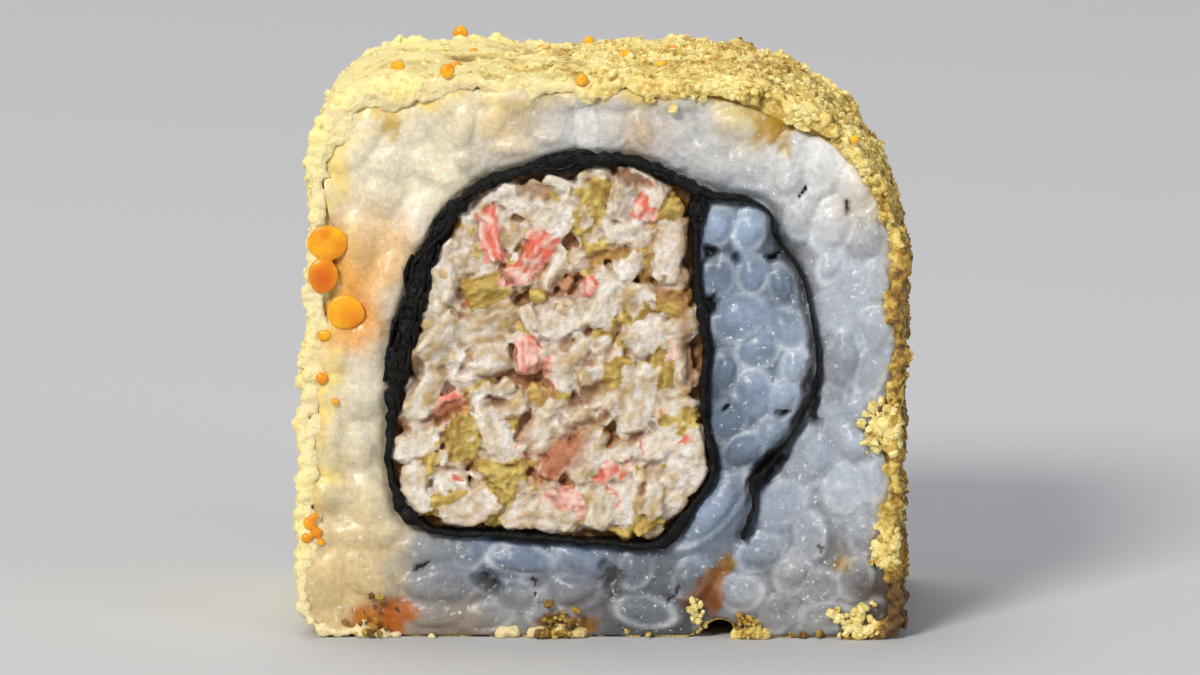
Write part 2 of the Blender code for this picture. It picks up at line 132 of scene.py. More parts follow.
# Rice grains that show on the front cut face, as (x, z, length, width, turn in degrees)
FRONT_GRAINS = (
    # down the left side, from the top corner
    (-16.0, 34.0, 5.0, 2.6, 66), (-12.9, 34.6, 4.6, 3.0, 20), (-11.0, 32.0, 3.4, 2.6, 150),
    (-11.9, 28.6, 3.6, 2.3, 65), (-13.9, 24.1, 5.2, 2.4, 70), (-14.5, 30.0, 3.0, 2.4, 40),
    (-16.3, 26.4, 5.2, 2.8, 85), (-18.0, 30.1, 3.2, 2.2, 80), (-13.5, 32.2, 3.4, 2.6, 30),
    (-15.6, 19.3, 4.8, 2.2, 85), (-17.6, 20.0, 3.6, 2.2, 80), (-16.0, 16.1, 3.4, 2.3, 55),
    (-16.2, 13.3, 3.6, 2.2, 100), (-15.4, 9.4, 3.8, 2.4, 110), (-18.1, 10.0, 2.9, 2.5, 90),
    (-18.1, 13.3, 4.0, 1.9, 88), (-17.9, 16.6, 3.4, 1.9, 92), (-18.1, 4.1, 4.2, 3.2, 70),
    (-15.3, 4.5, 4.2, 2.9, 150), (-16.0, 7.0, 4.6, 2.4, 5), (-18.3, 6.9, 3.0, 2.2, 60),
    # along the top, left to right
    (-8.9, 35.0, 3.0, 1.8, 80), (-7.0, 35.1, 3.0, 2.2, 60), (-3.7, 35.4, 4.2, 2.5, 0),
    (-3.2, 33.9, 3.6, 1.7, 5), (-0.9, 34.9, 3.5, 1.6, 105), (-8.9, 32.5, 2.8, 2.2, 25),
    (-5.4, 33.3, 4.2, 1.7, 10), (-9.9, 36.4, 3.6, 2.2, 10), (-6.0, 36.7, 4.0, 2.0, 0),
    (-1.9, 36.7, 3.6, 2.0, 170), (1.8, 36.7, 4.0, 2.0, 5), (1.2, 34.8, 3.4, 2.1, 70),
    (3.0, 34.5, 3.2, 1.8, 115), (5.4, 36.5, 4.2, 2.4, 8), (5.7, 34.6, 4.2, 3.0, 140),
    (9.2, 34.8, 4.2, 2.8, 165), (7.6, 32.5, 3.4, 2.2, 145), (10.3, 32.3, 3.8, 2.8, 140),
    (4.6, 33.0, 2.4, 1.6, 140),
    # down the right side
    (12.9, 32.0, 4.6, 2.9, 78), (15.0, 32.7, 4.6, 2.6, 66), (13.6, 28.9, 3.4, 2.1, 82),
    (15.9, 28.1, 3.9, 2.9, 60), (17.5, 30.6, 3.6, 2.3, 105), (18.2, 27.5, 3.6, 2.2, 95),
    (16.9, 23.2, 4.4, 3.0, 62), (18.8, 24.4, 3.5, 2.0, 95), (15.6, 25.4, 2.8, 1.8, 70),
    (18.8, 21.2, 3.4, 2.0, 85), (16.5, 19.2, 4.2, 2.3, 82), (18.3, 18.4, 4.4, 2.2, 74),
    (15.9, 15.8, 3.5, 2.2, 85), (17.6, 15.6, 2.8, 2.1, 45), (14.6, 12.4, 4.2, 3.0, 60),
    (16.6, 10.3, 3.4, 2.6, 100), (18.5, 11.2, 3.4, 2.0, 88), (12.5, 9.3, 3.6, 2.4, 45),
    (14.3, 7.2, 3.4, 2.1, 95), (18.1, 7.5, 3.5, 2.1, 80), (17.1, 13.4, 3.0, 2.4, 120),
    # in the fold's pocket
    (8.1, 28.1, 3.0, 2.2, 75), (10.3, 27.7, 3.4, 2.3, 70), (8.2, 24.7, 2.9, 2.3, 80),
    (10.5, 24.8, 3.0, 2.3, 85), (12.4, 24.0, 3.3, 2.0, 105), (9.6, 21.9, 4.0, 3.1, 35),
    (12.7, 21.1, 3.4, 2.6, 120), (10.8, 19.7, 3.2, 2.7, 20), (13.3, 18.6, 2.9, 2.0, 80),
    (10.5, 16.9, 3.3, 2.6, 85), (8.6, 18.2, 3.4, 2.0, 85), (12.6, 16.4, 2.8, 2.1, 80),
    (8.8, 14.7, 3.4, 2.4, 80), (11.7, 14.1, 2.6, 2.3, 45), (9.9, 12.8, 3.4, 2.4, 30),
    # the tongue that passes the sheet's open end, and the rows along the foot
    (7.8, 8.9, 7.4, 2.9, 47), (-11.6, 5.9, 3.7, 2.0, 172), (-8.8, 5.7, 2.5, 2.0, 40),
    (-5.2, 5.3, 5.4, 2.3, 172), (-10.7, 3.7, 4.8, 2.4, 5), (-5.5, 3.0, 3.4, 2.4, 170),
    (-1.8, 3.2, 4.2, 2.6, 0), (-0.9, 5.3, 3.8, 2.1, 165), (-11.1, 1.7, 3.9, 2.1, 0),
    (-7.4, 1.5, 3.6, 2.0, 8), (-3.1, 1.5, 3.2, 1.8, 0), (2.6, 4.7, 3.1, 2.4, 60),
    (3.2, 1.9, 4.6, 2.3, 172), (6.3, 4.1, 3.2, 2.4, 60), (9.8, 3.0, 3.0, 2.4, 20),
    (12.2, 1.8, 2.9, 2.2, 60), (15.4, 1.5, 3.8, 2.0, 5), (11.1, 5.8, 3.6, 2.5, 25),
    (13.3, 4.5, 3.2, 2.4, 70), (15.0, 3.4, 2.8, 2.4, 0), (17.4, 4.1, 3.1, 2.4, 75),
    (18.4, 1.8, 2.6, 1.8, 30),
)

# Grains: those of the back face, how far unclear ones merge, and where batter melted them
GRAIN_SPACING = 2.5
GRAIN_LENGTHS = (2.9, 3.3, 3.8, 4.6, 5.4)
GRAIN_MERGE = 1.0
GRAIN_BLUR = 0.22
GRAIN_SUNK = 0.7
MELTED_LEFT_OF = -8.0
MELTED_MERGE = 0.2

# Rice: its layer at a cut face, from outside to inside, its edges and its plain colours
RICE_SLAB = (-11.35, -9.2)
RICE_OVER_COAT = 0.4
RICE_EDGE = 0.1
RICE_CORE_HALF_DEPTH = 9.4
RICE_BASE = "#C9C9C6"
RICE_BASE_WEIGHT = 0.02
BATTER_SOAKED = "#E8CC74"

# Local colours of the cut rice, as (x, z, reach, sRGB colour, weight): stains, and painted shade in the
# fold's pocket, down the right side and at the foot
RICE_STAINS_AND_SHADE = (
    (-15.0, 32.6, 4.6, "#E2D7BB", 1.8),  # egg-yellow batter soaked in at the top left
    (-9.0, 35.5, 2.6, "#DCCFAC", 0.9),
    (-15.0, 26.3, 1.8, "#E0AE62", 2.2),  # roe juice
    (-18.3, 25.6, 1.2, "#EE9F1E", 6.0),
    (-17.6, 23.2, 0.9, "#EC9A1C", 6.0),
    (-16.9, 22.0, 1.2, "#EA9C24", 3.0),
    (-13.4, 23.0, 0.9, "#D6CAB8", 1.6),
    (-12.4, 28.2, 0.8, "#D9D0C6", 1.4),
    (-13.6, 35.0, 0.3, "#B08C28", 30.0),
    (-14.2, 36.4, 0.3, "#C4A040", 20.0),
    (-16.8, 16.5, 3.0, "#D8CDB4", 1.0),
    (-17.0, 10.5, 2.8, "#D3C5A2", 1.0),
    (-17.2, 5.0, 2.4, "#D2B783", 1.2),
    (-15.7, 0.9, 0.42, "#B86A06", 60.0),  # painted shade at the foot, dark brown with a warm orange reflection
    (-13.8, 1.5, 0.42, "#A45604", 60.0),
    (-3.2, 0.6, 0.4, "#6A3E08", 50.0),
    (-1.0, 0.9, 0.35, "#8A5A10", 40.0),
    (7.3, 2.7, 0.36, "#7C4404", 60.0),
    (8.1, 4.2, 0.28, "#8C5A10", 50.0),
    (8.7, 5.2, 0.25, "#A07A28", 30.0),
    (16.6, 5.0, 0.3, "#A07C1C", 30.0),
    (18.9, 2.6, 1.0, "#4A3320", 4.0),
    (-6.0, 35.0, 1.2, "#D2B06E", 1.6),
    (-7.0, 32.8, 0.9, "#AFAAA6", 1.2),
    (-1.5, 34.5, 2.4, "#CECAC4", 1.6),
    (3.2, 34.4, 1.0, "#CDAE80", 1.4),
    (9.6, 36.8, 1.6, "#C9B268", 1.2),
    (12.3, 35.3, 0.62, "#AC8400", 50.0),  # frying oil between two grains
    (10.9, 36.6, 0.5, "#BA9630", 30.0),
    (12.3, 33.9, 0.3, "#B89440", 20.0),
    # greyer towards the right: painted shade where less light falls
    (15.3, 33.4, 1.2, "#DCDBD8", 3.0),
    (6.0, 33.8, 2.4, "#BEBDBC", 1.2),
    (14.6, 31.6, 2.0, "#D0D0CE", 1.4),
    (17.8, 29.6, 1.3, "#BDB09C", 1.4),
    (17.6, 25.0, 2.6, "#AEB4BC", 1.2),
    (17.0, 18.0, 3.2, "#A2AAB6", 1.2),  # clear grains where no batter reached, with painted cool shade
    (15.8, 17.6, 1.4, "#7F8286", 1.2),
    (15.5, 10.0, 3.2, "#A4ACB8", 1.0),
    (16.6, 9.6, 1.0, "#C2C7CD", 1.4),
    (16.0, 3.5, 2.8, "#929292", 1.2),
    # painted shade in the fold's pocket: blue-grey to slate, darkest between its grains
    (9.4, 27.6, 1.4, "#8B9EB6", 2.0),
    (8.7, 25.9, 0.6, "#4C5868", 4.0),
    (11.9, 26.2, 0.6, "#4E5A6A", 4.0),
    (8.2, 24.2, 0.9, "#6A7B90", 2.0),
    (10.8, 24.4, 1.2, "#74859B", 2.0),
    (12.8, 23.4, 0.9, "#5E6D80", 2.0),
    (10.6, 20.8, 1.6, "#8494AA", 2.4),
    (8.2, 20.4, 0.8, "#566374", 2.0),
    (11.0, 18.0, 1.8, "#8292A8", 2.0),
    (8.6, 17.2, 0.9, "#5A6778", 2.0),
    (9.0, 14.6, 1.4, "#617086", 2.2),
    (11.6, 14.8, 1.0, "#8696AA", 2.0),
    (9.6, 12.0, 1.2, "#546172", 2.6),
    (8.0, 8.9, 2.2, "#8494A9", 1.8),
    # painted grey-blue shade along the foot
    (3.0, 3.5, 2.6, "#6C7177", 1.4),
    (-1.5, 5.2, 2.4, "#6F7F96", 1.6),
    (-5.4, 5.4, 1.6, "#62728A", 2.4),
    (-4.2, 2.8, 1.4, "#9A9894", 2.4),
    (-10.5, 4.6, 1.8, "#80868E", 1.4),
    (-9.5, 1.4, 1.4, "#8A7A64", 1.2),
    (-0.8, 2.6, 1.2, "#94887C", 1.8),
)

# Gaps between the front grains, as (x, z, half length, half width, turn in degrees, darkness); darkness sets
# how far each is pressed in and how much painted shade fills it
FRONT_GAPS = (
    (7.4, 26.3, 0.45, 0.4, 20, 1.0), (7.5, 22.7, 0.5, 0.5, 70, 1.0), (11.9, 26.1, 0.45, 0.16, 30, 0.95),
    (9.4, 25.9, 0.3, 0.14, 90, 0.8), (13.7, 30.4, 0.4, 0.1, 50, 0.85), (16.9, 29.4, 0.3, 0.15, 120, 0.8),
    (14.5, 16.4, 1.7, 0.28, 98, 0.85), (11.5, 11.7, 1.3, 0.5, 48, 1.0), (12.4, 15.4, 0.4, 0.16, 10, 0.9),
    (8.7, 15.9, 0.3, 0.12, 60, 0.8), (-7.4, 3.8, 0.8, 0.4, 150, 0.8), (0.9, 4.1, 0.9, 0.5, 110, 0.82),
    (-4.2, 3.6, 0.6, 0.1, 95, 0.8), (-12.0, 4.9, 0.4, 0.1, 20, 0.66), (15.2, 6.2, 0.4, 0.1, 80, 0.7),
    (5.2, 3.0, 0.5, 0.12, 60, 0.7),
)
GAP_DEPTH = 1.1

# Pieces of the filling that show on the front, as (x, z, length, width, turn in degrees)
WHITE_PIECES = (
    (-5.5, 29.9, 3.4, 1.9, 150), (-2.3, 29.2, 3.6, 2.6, 40), (-8.2, 29.5, 2.8, 1.4, 60),
    (-8.9, 26.1, 3.2, 2.4, 85), (-10.4, 24.2, 4.4, 2.4, 78), (-2.9, 25.0, 2.6, 1.2, 60),
    (-7.5, 21.4, 5.0, 3.0, 20), (-2.1, 21.7, 4.8, 3.2, 30), (1.8, 30.3, 3.2, 1.8, 70),
    (3.4, 31.0, 2.7, 1.3, 143), (4.9, 26.5, 3.8, 2.0, 80), (1.9, 25.3, 2.0, 1.4, 20),
    (2.0, 27.6, 3.2, 1.8, 5), (5.6, 24.1, 2.2, 1.1, 60), (6.1, 21.5, 3.1, 1.8, 38),
    (3.4, 23.1, 4.8, 2.0, 170), (3.4, 20.7, 3.2, 2.2, 30), (0.3, 22.7, 2.6, 1.8, 60),
    (-10.6, 20.0, 4.8, 3.0, 42), (-7.5, 18.9, 3.6, 2.4, 10), (-11.7, 16.5, 3.0, 1.6, 58),
    (-5.8, 16.1, 2.3, 1.6, 20), (-1.9, 19.0, 4.2, 1.3, 52), (-3.5, 14.4, 4.0, 2.2, 50),
    (-7.0, 13.9, 3.9, 1.8, 112), (-1.4, 15.3, 1.4, 1.1, 30), (-12.5, 13.3, 2.9, 1.8, 20),
    (-10.1, 11.0, 2.9, 1.7, 5), (-8.5, 8.9, 3.5, 1.9, 32), (-4.8, 9.5, 2.0, 1.5, 60),
    (-5.1, 8.2, 2.6, 1.7, 20), (-0.9, 12.3, 4.2, 2.2, 62), (-12.3, 10.3, 3.4, 1.8, 95),
    (-0.4, 17.5, 2.8, 1.7, 95), (0.7, 15.5, 2.0, 1.3, 60), (2.7, 16.5, 4.6, 2.6, 82),
    (5.3, 16.7, 3.0, 1.6, 60), (5.7, 18.5, 2.6, 1.2, 95), (2.4, 12.4, 2.7, 2.3, 40),
    (4.4, 13.3, 2.6, 1.9, 20), (5.7, 11.2, 3.8, 2.2, 50), (3.5, 10.0, 3.0, 1.9, 82),
    (1.6, 9.5, 3.8, 1.8, 92), (4.8, 9.1, 2.6, 1.5, 52), (0.1, 8.9, 3.0, 2.0, 70),
    (-2.8, 8.2, 3.0, 1.8, 170),
)
YELLOW_PIECES = (
    (-7.5, 23.7, 3.0, 2.1, 20), (-0.8, 29.1, 3.4, 1.7, 78), (0.7, 26.4, 3.0, 1.5, 15),
    (5.2, 22.9, 2.6, 1.6, 170), (-9.1, 13.7, 3.4, 1.9, 82), (-10.4, 9.2, 3.6, 1.5, 5),
    (-6.2, 11.4, 3.0, 1.9, 15), (4.4, 18.2, 3.2, 1.7, 85), (5.7, 15.0, 3.0, 2.0, 40),
    (1.3, 18.2, 2.6, 1.9, 20), (3.4, 8.1, 2.4, 1.5, 30), (5.0, 29.3, 1.9, 1.3, 45),
    (-6.8, 9.2, 2.6, 1.8, 40), (0.0, 30.1, 2.4, 1.5, 80), (-11.6, 11.9, 2.0, 1.3, 60),
)
PINK_PIECES = (
    (-7.1, 27.6, 4.0, 1.3, 100), (-4.3, 26.2, 3.8, 1.7, 58), (-5.5, 25.0, 2.6, 1.3, 20),
    (3.2, 29.5, 2.4, 1.7, 70), (-2.3, 9.2, 3.0, 1.7, 172), (-2.9, 12.0, 2.8, 1.5, 55),
    (-9.9, 15.9, 2.4, 1.1, 25), (-4.8, 19.3, 2.6, 1.2, 92), (1.8, 11.8, 1.7, 1.3, 60),
    (3.4, 13.4, 2.0, 1.1, 110), (5.2, 19.7, 1.5, 0.8, 80), (0.3, 11.5, 2.0, 1.3, 50),
    (5.5, 13.3, 1.6, 1.0, 30),
)

# Local colours of what shows deep in the filling, sauce and painted shade in the gaps between pieces, as (x,
# z, reach, sRGB colour, weight)
FILLING_STAINS_AND_SHADE = (
    (-3.6, 31.1, 1.4, "#A9815A", 1.5),
    (-2.2, 24.9, 1.2, "#B97F58", 1.5),
    (0.4, 25.7, 0.9, "#B4824A", 1.5),
    (-4.2, 18.2, 1.3, "#C08B62", 1.5),
    (-10.0, 15.9, 1.2, "#A8623A", 1.6),
    (-7.2, 16.4, 0.7, "#6E4422", 1.4),
    (-1.1, 16.6, 1.0, "#8F5F38", 1.5),
    (-2.8, 12.5, 1.4, "#BE6F48", 1.7),
    (3.1, 29.4, 1.0, "#B56F5C", 1.4),
    (2.0, 31.8, 0.9, "#7E5B36", 1.4),
    (6.1, 28.5, 0.9, "#8A6238", 1.6),
    (6.2, 25.5, 0.9, "#7A552E", 1.6),
    (6.4, 20.0, 0.8, "#8A6236", 1.5),
    (2.6, 14.1, 0.6, "#5E3B1E", 1.4),
    (1.7, 12.0, 0.9, "#C27C66", 1.4),
    (-12.3, 18.4, 0.7, "#4F3A22", 1.4),
    (-6.0, 8.0, 0.8, "#6F5428", 1.2),
    (-6.0, 24.4, 0.7, "#8A5630", 1.3),
)

# Gaps between the filling's pieces, in the same terms as those between grains, where sauce and painted shade
# show
FILLING_GAPS = (
    (-4.0, 30.5, 1.1, 0.5, 160, 0.75), (-2.1, 24.2, 0.9, 0.7, 45, 0.9), (-5.2, 23.3, 0.4, 0.25, 20, 0.8),
    (-2.3, 12.5, 2.2, 0.9, 50, 0.9), (-10.2, 15.5, 1.4, 0.4, 30, 0.9), (-6.8, 16.2, 0.6, 0.3, 10, 0.9),
    (-0.9, 16.5, 1.3, 0.4, 30, 0.8), (-12.2, 18.6, 0.4, 0.7, 0, 0.9), (-13.2, 14.4, 0.4, 0.5, 0, 0.9),
    (2.4, 31.4, 1.4, 0.35, 160, 0.9), (0.6, 26.0, 1.2, 0.5, 20, 0.85), (4.6, 23.6, 1.0, 0.3, 170, 0.7),
    (0.4, 15.3, 0.45, 0.4, 0, 0.9), (2.7, 13.9, 0.6, 0.3, 20, 0.85), (3.0, 10.3, 0.4, 0.2, 80, 0.8),
    (6.3, 19.0, 0.4, 1.6, 0, 0.85), (-6.3, 24.9, 0.9, 0.2, 120, 0.7), (-9.4, 22.4, 0.9, 0.2, 150, 0.6),
    (-4.3, 18.0, 1.0, 0.5, 40, 0.7), (1.1, 20.3, 1.0, 0.2, 60, 0.6), (-8.7, 18.9, 0.8, 0.2, 60, 0.6),
)
FILLING_SLAB = (-10.6, -9.0)
FILLING_STEP = 0.15
PIECE_LENGTHS = (2.4, 4.6)
BIT_LENGTHS = (0.7, 2.0)
BITS_SUNK = 0.25
FILLING_BASE = "#C4A87A"
FILLING_BASE_WEIGHT = 0.35
# Sauce colour, which also serves as painted shade deep between the pieces
FILLING_SAUCE_AND_SHADE = "#A8743F"

# How far batter covers the cut faces, inwards from the outline, as (x, z, extra, spread)
BATTER_REACH = 0.45
BATTER_BANDS = (
    (-18.5, 35.5, 1.4, 2.4), (-13.5, 37.8, 1.5, 1.8), (-10.0, 38.0, 0.6, 1.2), (-7.0, 38.0, 1.5, 1.4),
    (-4.0, 38.0, 0.4, 1.2), (-1.0, 38.0, 1.3, 1.4), (3.5, 38.0, 0.8, 1.6), (7.4, 37.8, 0.7, 1.2),
    (9.8, 37.8, 1.3, 1.0), (13.7, 36.4, 1.9, 1.0), (18.4, 32.6, 0.6, 1.2), (12.0, 37.2, -1.1, 0.9),
    (20.7, 14.3, 2.5, 1.2), (20.4, 6.8, 1.3, 1.6),
    (18.5, 0.6, 1.3, 1.2), (10.4, 0.4, 0.9, 0.7), (-15.6, 0.4, 1.0, 1.1), (-3.2, 0.2, 1.0, 1.0),
    (6.7, 1.4, 1.2, 0.5), (-20.0, 28.5, 0.9, 1.6), (-19.8, 19.5, 0.5, 1.6), (-19.8, 12.0, 0.6, 1.6),
    (-20.0, 6.8, 0.9, 1.1), (20.6, 23.0, 0.3, 2.0),
)
BATTER_PITCH = 0.4
BATTER_LUMPS = (0.5, 0.95)
BRIDGE_LUMPS = (0.6, 1.1)
FOOT_RECESS = 1.0

# Where the coat is paler or browner than round about, as (x, z, change, spread)
TONE_SPOTS = (
    (19.2, 14.5, 0.45, 1.2), (19.0, 6.5, 0.4, 1.2), (17.8, 0.9, 0.5, 0.9), (10.4, 0.8, 0.5, 0.9),
    (20.0, 2.9, -0.5, 0.9), (14.5, 36.0, 0.1, 2.0), (-19.5, 30.0, 0.1, 5.0), (19.8, 27.2, 0.25, 1.1),
)

# Crumbs that spill over the front cut face, as (x, z, reach, count, tone from brown 0 to pale 1)
CRUMB_SPILLS = (
    (19.3, 14.5, 1.2, 110, 0.9),
    (19.9, 6.3, 1.0, 60, 0.8),
    (17.6, 0.9, 1.2, 60, 0.8),
    (9.8, 37.2, 0.9, 34, 0.9),
    (13.9, 36.0, 0.9, 60, 0.9),
    (18.2, 32.0, 0.6, 26, 0.85),
    (6.5, 37.8, 1.6, 30, 0.85),
    (-15.4, 0.9, 1.3, 18, 0.2),
    (-2.6, 0.7, 1.3, 36, 0.3),
    (6.6, 1.9, 0.5, 16, 1.0),
    (10.4, 0.8, 0.8, 26, 0.5),
)
SPILLED_CRUMBS = (0.25, 0.8)
FINE_CRUMB = 0.36

# Roe: low wide beads on the left, as (x, z, width, height), and small ones, as (x, z, width)
BIG_ROE = (
    (-18.1, 27.0, 2.5, 2.3), (-18.4, 24.7, 2.0, 2.2), (-16.9, 22.3, 2.4, 2.1), (-18.3, 20.7, 0.9, 0.8),
)
SMALL_ROE = (
    (-10.0, 38.6, 1.1), (-1.0, 38.0, 0.9), (-18.5, 17.8, 0.9), (-17.6, 16.2, 0.6),
    (-19.4, 7.9, 0.9), (-18.9, 7.3, 0.8), (-19.6, 6.9, 0.8), (-19.0, 8.4, 0.6), (-18.6, 6.6, 0.6),
    (17.2, 34.0, 0.7),
)

# Where the roe is darkest, as (x, z, strength, spread)
ROE_HEARTS = ((-18.4, 24.6, 1.0, 0.9), (-16.6, 22.0, 0.6, 0.7), (-18.1, 27.0, 0.3, 0.6))
ROE_STEP = 0.13
ROE_ON_TOP = 9

# Stage: lights as (name, place, width, watts, tint), in metres, and the sky's light
LIGHTS = (
    ("key", (-0.90, -1.70, 1.30), 0.70, 46.0, (1.0, 0.96, 0.90)),
    ("fill", (1.60, -1.40, 0.60), 1.20, 12.0, (0.88, 0.94, 1.0)),
    ("top", (-0.30, 0.60, 1.80), 1.20, 12.0, (1.0, 0.98, 0.95)),
)
LIGHTS_AIM = (0.0, 0.0, 0.02)
SKY_TINT = (0.80, 0.86, 1.0, 1.0)
SKY_STRENGTH = 0.30
FLOOR_RADIUS = 4000
SENSOR_WIDTH = 36.0


def linear(code):
    """An sRGB hex colour as linear red, green and blue."""
    parts = [int(code[i : i + 2], 16) / 255 for i in (1, 3, 5)]
    return tuple(c / 12.92 if c <= 0.04045 else ((c + 0.055) / 1.055) ** 2.4 for c in parts)


def per_mm(size):
    """The texture scale whose pattern repeats about once in a size in millimetres."""
    return 1 / (size * MM)


def colour(name, description, code):
    """A colour setting, from an sRGB hex colour."""
    return FloatVectorProperty(
        name=name, description=description, default=linear(code), subtype="COLOR", size=3, min=0, max=1
    )


def length(name, description, millimetres):
    """A length setting, which Blender keeps in metres."""
    return FloatProperty(
        name=name, description=description, default=millimetres * MM, min=0, unit="LENGTH"
    )


def angle(name, description, degrees):
    """An angle setting, which Blender keeps in radians."""
    return FloatProperty(
        name=name, description=description, default=math.radians(degrees), subtype="ANGLE"
    )


class RiceSettings(bpy.types.PropertyGroup):
    """The rice: how finely its surface is cut, and its plain colours."""

    voxel: length("Surface step", "Size of the cells that the grains are fused with", 0.195)
    # Painted highlight: the pale colour at grain edges
    rim: colour("Grain edge", "Colour where a grain turns away from the cut", "#E6EAEE")
    # Painted shade: the crease tint darkens the rice between grains and below the face, and the gap colour
    # fills the gaps
    crease_shade: colour("Crease", "Tint between the grains", "#A09A90")
    gap: colour("Gap", "Colour deep in a gap", "#1E1914")
    # Painted glints: tiny white dots of glare on the wet film
    starch: colour("Starch specks", "Tiny pale specks in the wet film", "#F4F7FA")


class NoriSettings(bpy.types.PropertyGroup):
    """The seaweed sheet."""

    body: colour("Body", "Colour of the damp sheet", "#070605")
    worn: colour("Worn", "Colour where fibres stand up", "#1C1A14")


class FillingSettings(bpy.types.PropertyGroup):
    """The chopped filling: its kinds of piece."""

    white: colour("White", "Shredded white fish", "#EDE5DA")
    white_shade: colour("White shade", "Soaked parts of the white fish", "#C2A675")
    yellow: colour("Yellow", "Egg and mayonnaise", "#D6BC68")
    yellow_shade: colour("Yellow shade", "Soaked parts of the egg", "#A6843A")
    pink: colour("Pink", "Dyed outer shreds", "#E8735C")
    pink_shade: colour("Pink shade", "Pale inner side of the shreds", "#F3D6C8")


class CoatSettings(bpy.types.PropertyGroup):
    """The fried crumb coat."""

    crumbs: IntProperty(name="Crumbs", description="Crumbs fused to the coat", default=6000, min=0)
    loose: IntProperty(name="Fine crumbs", description="Fine crumbs on the coat", default=6000, min=0)
    crumb_size: length("Crumb size", "Middle width of a crumb", 0.55)
    pale: colour("Pale", "Lightly fried crumb", "#FDEAA0")
    golden: colour("Golden", "Well fried crumb", "#E2C468")
    # oily, brown and burnt also serve as painted shade in the pits, at the foot and down the right side
    oily: colour("Oily", "Pits that hold frying oil", "#AD8630")
    brown: colour("Brown", "Crumb browned by the pan", "#6C4C20")
    burnt: colour("Burnt", "Crumb nearly burnt at the foot", "#2E2010")
    thin: colour("Thin batter", "Batter where it fades out over the rice", "#EEDDB0")


class StageSettings(bpy.types.PropertyGroup):
    """The camera, the lights and the floor."""

    distance: length("Camera distance", "From the middle of the front cut face", 480)
    elevation: angle("Camera elevation", "Above the horizon", 8.5)
    azimuth: angle("Camera azimuth", "Towards the right side", 1.0)
    view_width: length("View width", "Width that the picture shows at the front cut face", 80.5)
    aim_height: length("Aim height", "Height that the camera looks at", 20.63)
    aim_side: length("Aim side", "How far right of the middle the camera looks", 0.2)
    floor: colour("Floor", "Matt pale card", "#C6C6C6")


SETTINGS = {
    "uramaki_rice": RiceSettings,
    "uramaki_nori": NoriSettings,
    "uramaki_filling": FillingSettings,
    "uramaki_coat": CoatSettings,
    "uramaki_stage": StageSettings,
}


def smooth_curve(points, step):
    """Points a step apart along a smooth curve through the given ones."""
    route = [Vector(p) for p in points]
    route = [2 * route[0] - route[1], *route, 2 * route[-1] - route[-2]]
    fine = []
    for a, b, c, d in zip(route, route[1:], route[2:], route[3:]):
        pieces = 12
        for i in range(pieces):
            t = i / pieces
            fine.append(
                0.5 * (2 * b + (c - a) * t + (2 * a - 5 * b + 4 * c - d) * t**2
                       + (3 * b - a - 3 * c + d) * t**3)
            )
    fine.append(route[-2])
    return resampled(fine, step)


def resampled(points, step):
    """The same open line with its points evenly apart, about a step each."""
    lengths = [0.0]
    for a, b in zip(points, points[1:]):
        lengths.append(lengths[-1] + (b - a).length)
    count = max(2, round(lengths[-1] / step))
    even = []
    at = 0
    for i in range(count + 1):
        wanted = lengths[-1] * i / count
        while at < len(points) - 2 and lengths[at + 1] < wanted:
            at += 1
        share = (wanted - lengths[at]) / (lengths[at + 1] - lengths[at])
        even.append(points[at].lerp(points[at + 1], share))
    return even


def ramp(value, start, end):
    """A rise from 0 at the start to 1 at the end, level before and after."""
    return np.clip((value - start) / (end - start), 0, 1)


def bump(x, z, places):
    """The sum of the smooth bumps at these places, each (x, z, height, spread)."""
    return sum(
        height * np.exp(-((x - px) ** 2 + (z - pz) ** 2) / (2 * spread**2))
        for px, pz, height, spread in places
    )


def block_outline(step):
    """The roll's outer outline, clockwise: straight sides with rounded corners."""
    corners = [(Vector((x, z)), radius) for x, z, radius in BLOCK_CORNERS]
    line = []
    for i, (corner, radius) in enumerate(corners):
        before = (corners[i - 1][0] - corner).normalized()
        after = (corners[(i + 1) % len(corners)][0] - corner).normalized()
        half_turn = before.angle(after) / 2
        centre = corner + (before + after).normalized() * radius / math.sin(half_turn)
        start = corner + before * radius / math.tan(half_turn) - centre
        end = corner + after * radius / math.tan(half_turn) - centre
        sweep = start.angle_signed(end)
        arc_steps = 12
        for k in range(arc_steps + 1):
            line.append(centre + Matrix.Rotation(-sweep * k / arc_steps, 2) @ start)
    line.append(line[0].copy())
    return resampled(line, step)[:-1]


def outward_normals(loop):
    """Unit normals of a clockwise closed loop, pointing out of it."""
    normals = []
    for i in range(len(loop)):
        along = loop[(i + 1) % len(loop)] - loop[i - 1]
        normals.append(Vector((-along.y, along.x)).normalized())
    return normals


def coat_thickness(x, z):
    """The coat's thickness at a place on its outline."""
    rise = COAT_AT_TOP - COAT_AT_FOOT
    return COAT_AT_FOOT + rise * float(ramp(z, 0, HEIGHT)) + bump(x, z, COAT_LUMPS)


def notch_lift(x):
    """How far the foot's outline is raised over its notch."""
    across = (x - NOTCH_X) / NOTCH_HALF_WIDTH
    return NOTCH_LIFT * (1 - across**2) ** 2 if abs(across) < 1 else 0.0


def moved_in(step, inset, lowest):
    """The block's outline moved in by an amount at each point, and kept over the foot's notch."""
    loop = block_outline(step)
    inner = [point - normal * inset(point) for point, normal in zip(loop, outward_normals(loop))]
    for point in inner:
        point.y = max(point.y, notch_lift(point.x) + lowest)
    return inner


def rice_outline(step):
    """The rice's outer outline, where it meets the coat."""
    return moved_in(step, lambda point: coat_thickness(point.x, point.y), COAT_AT_FOOT)


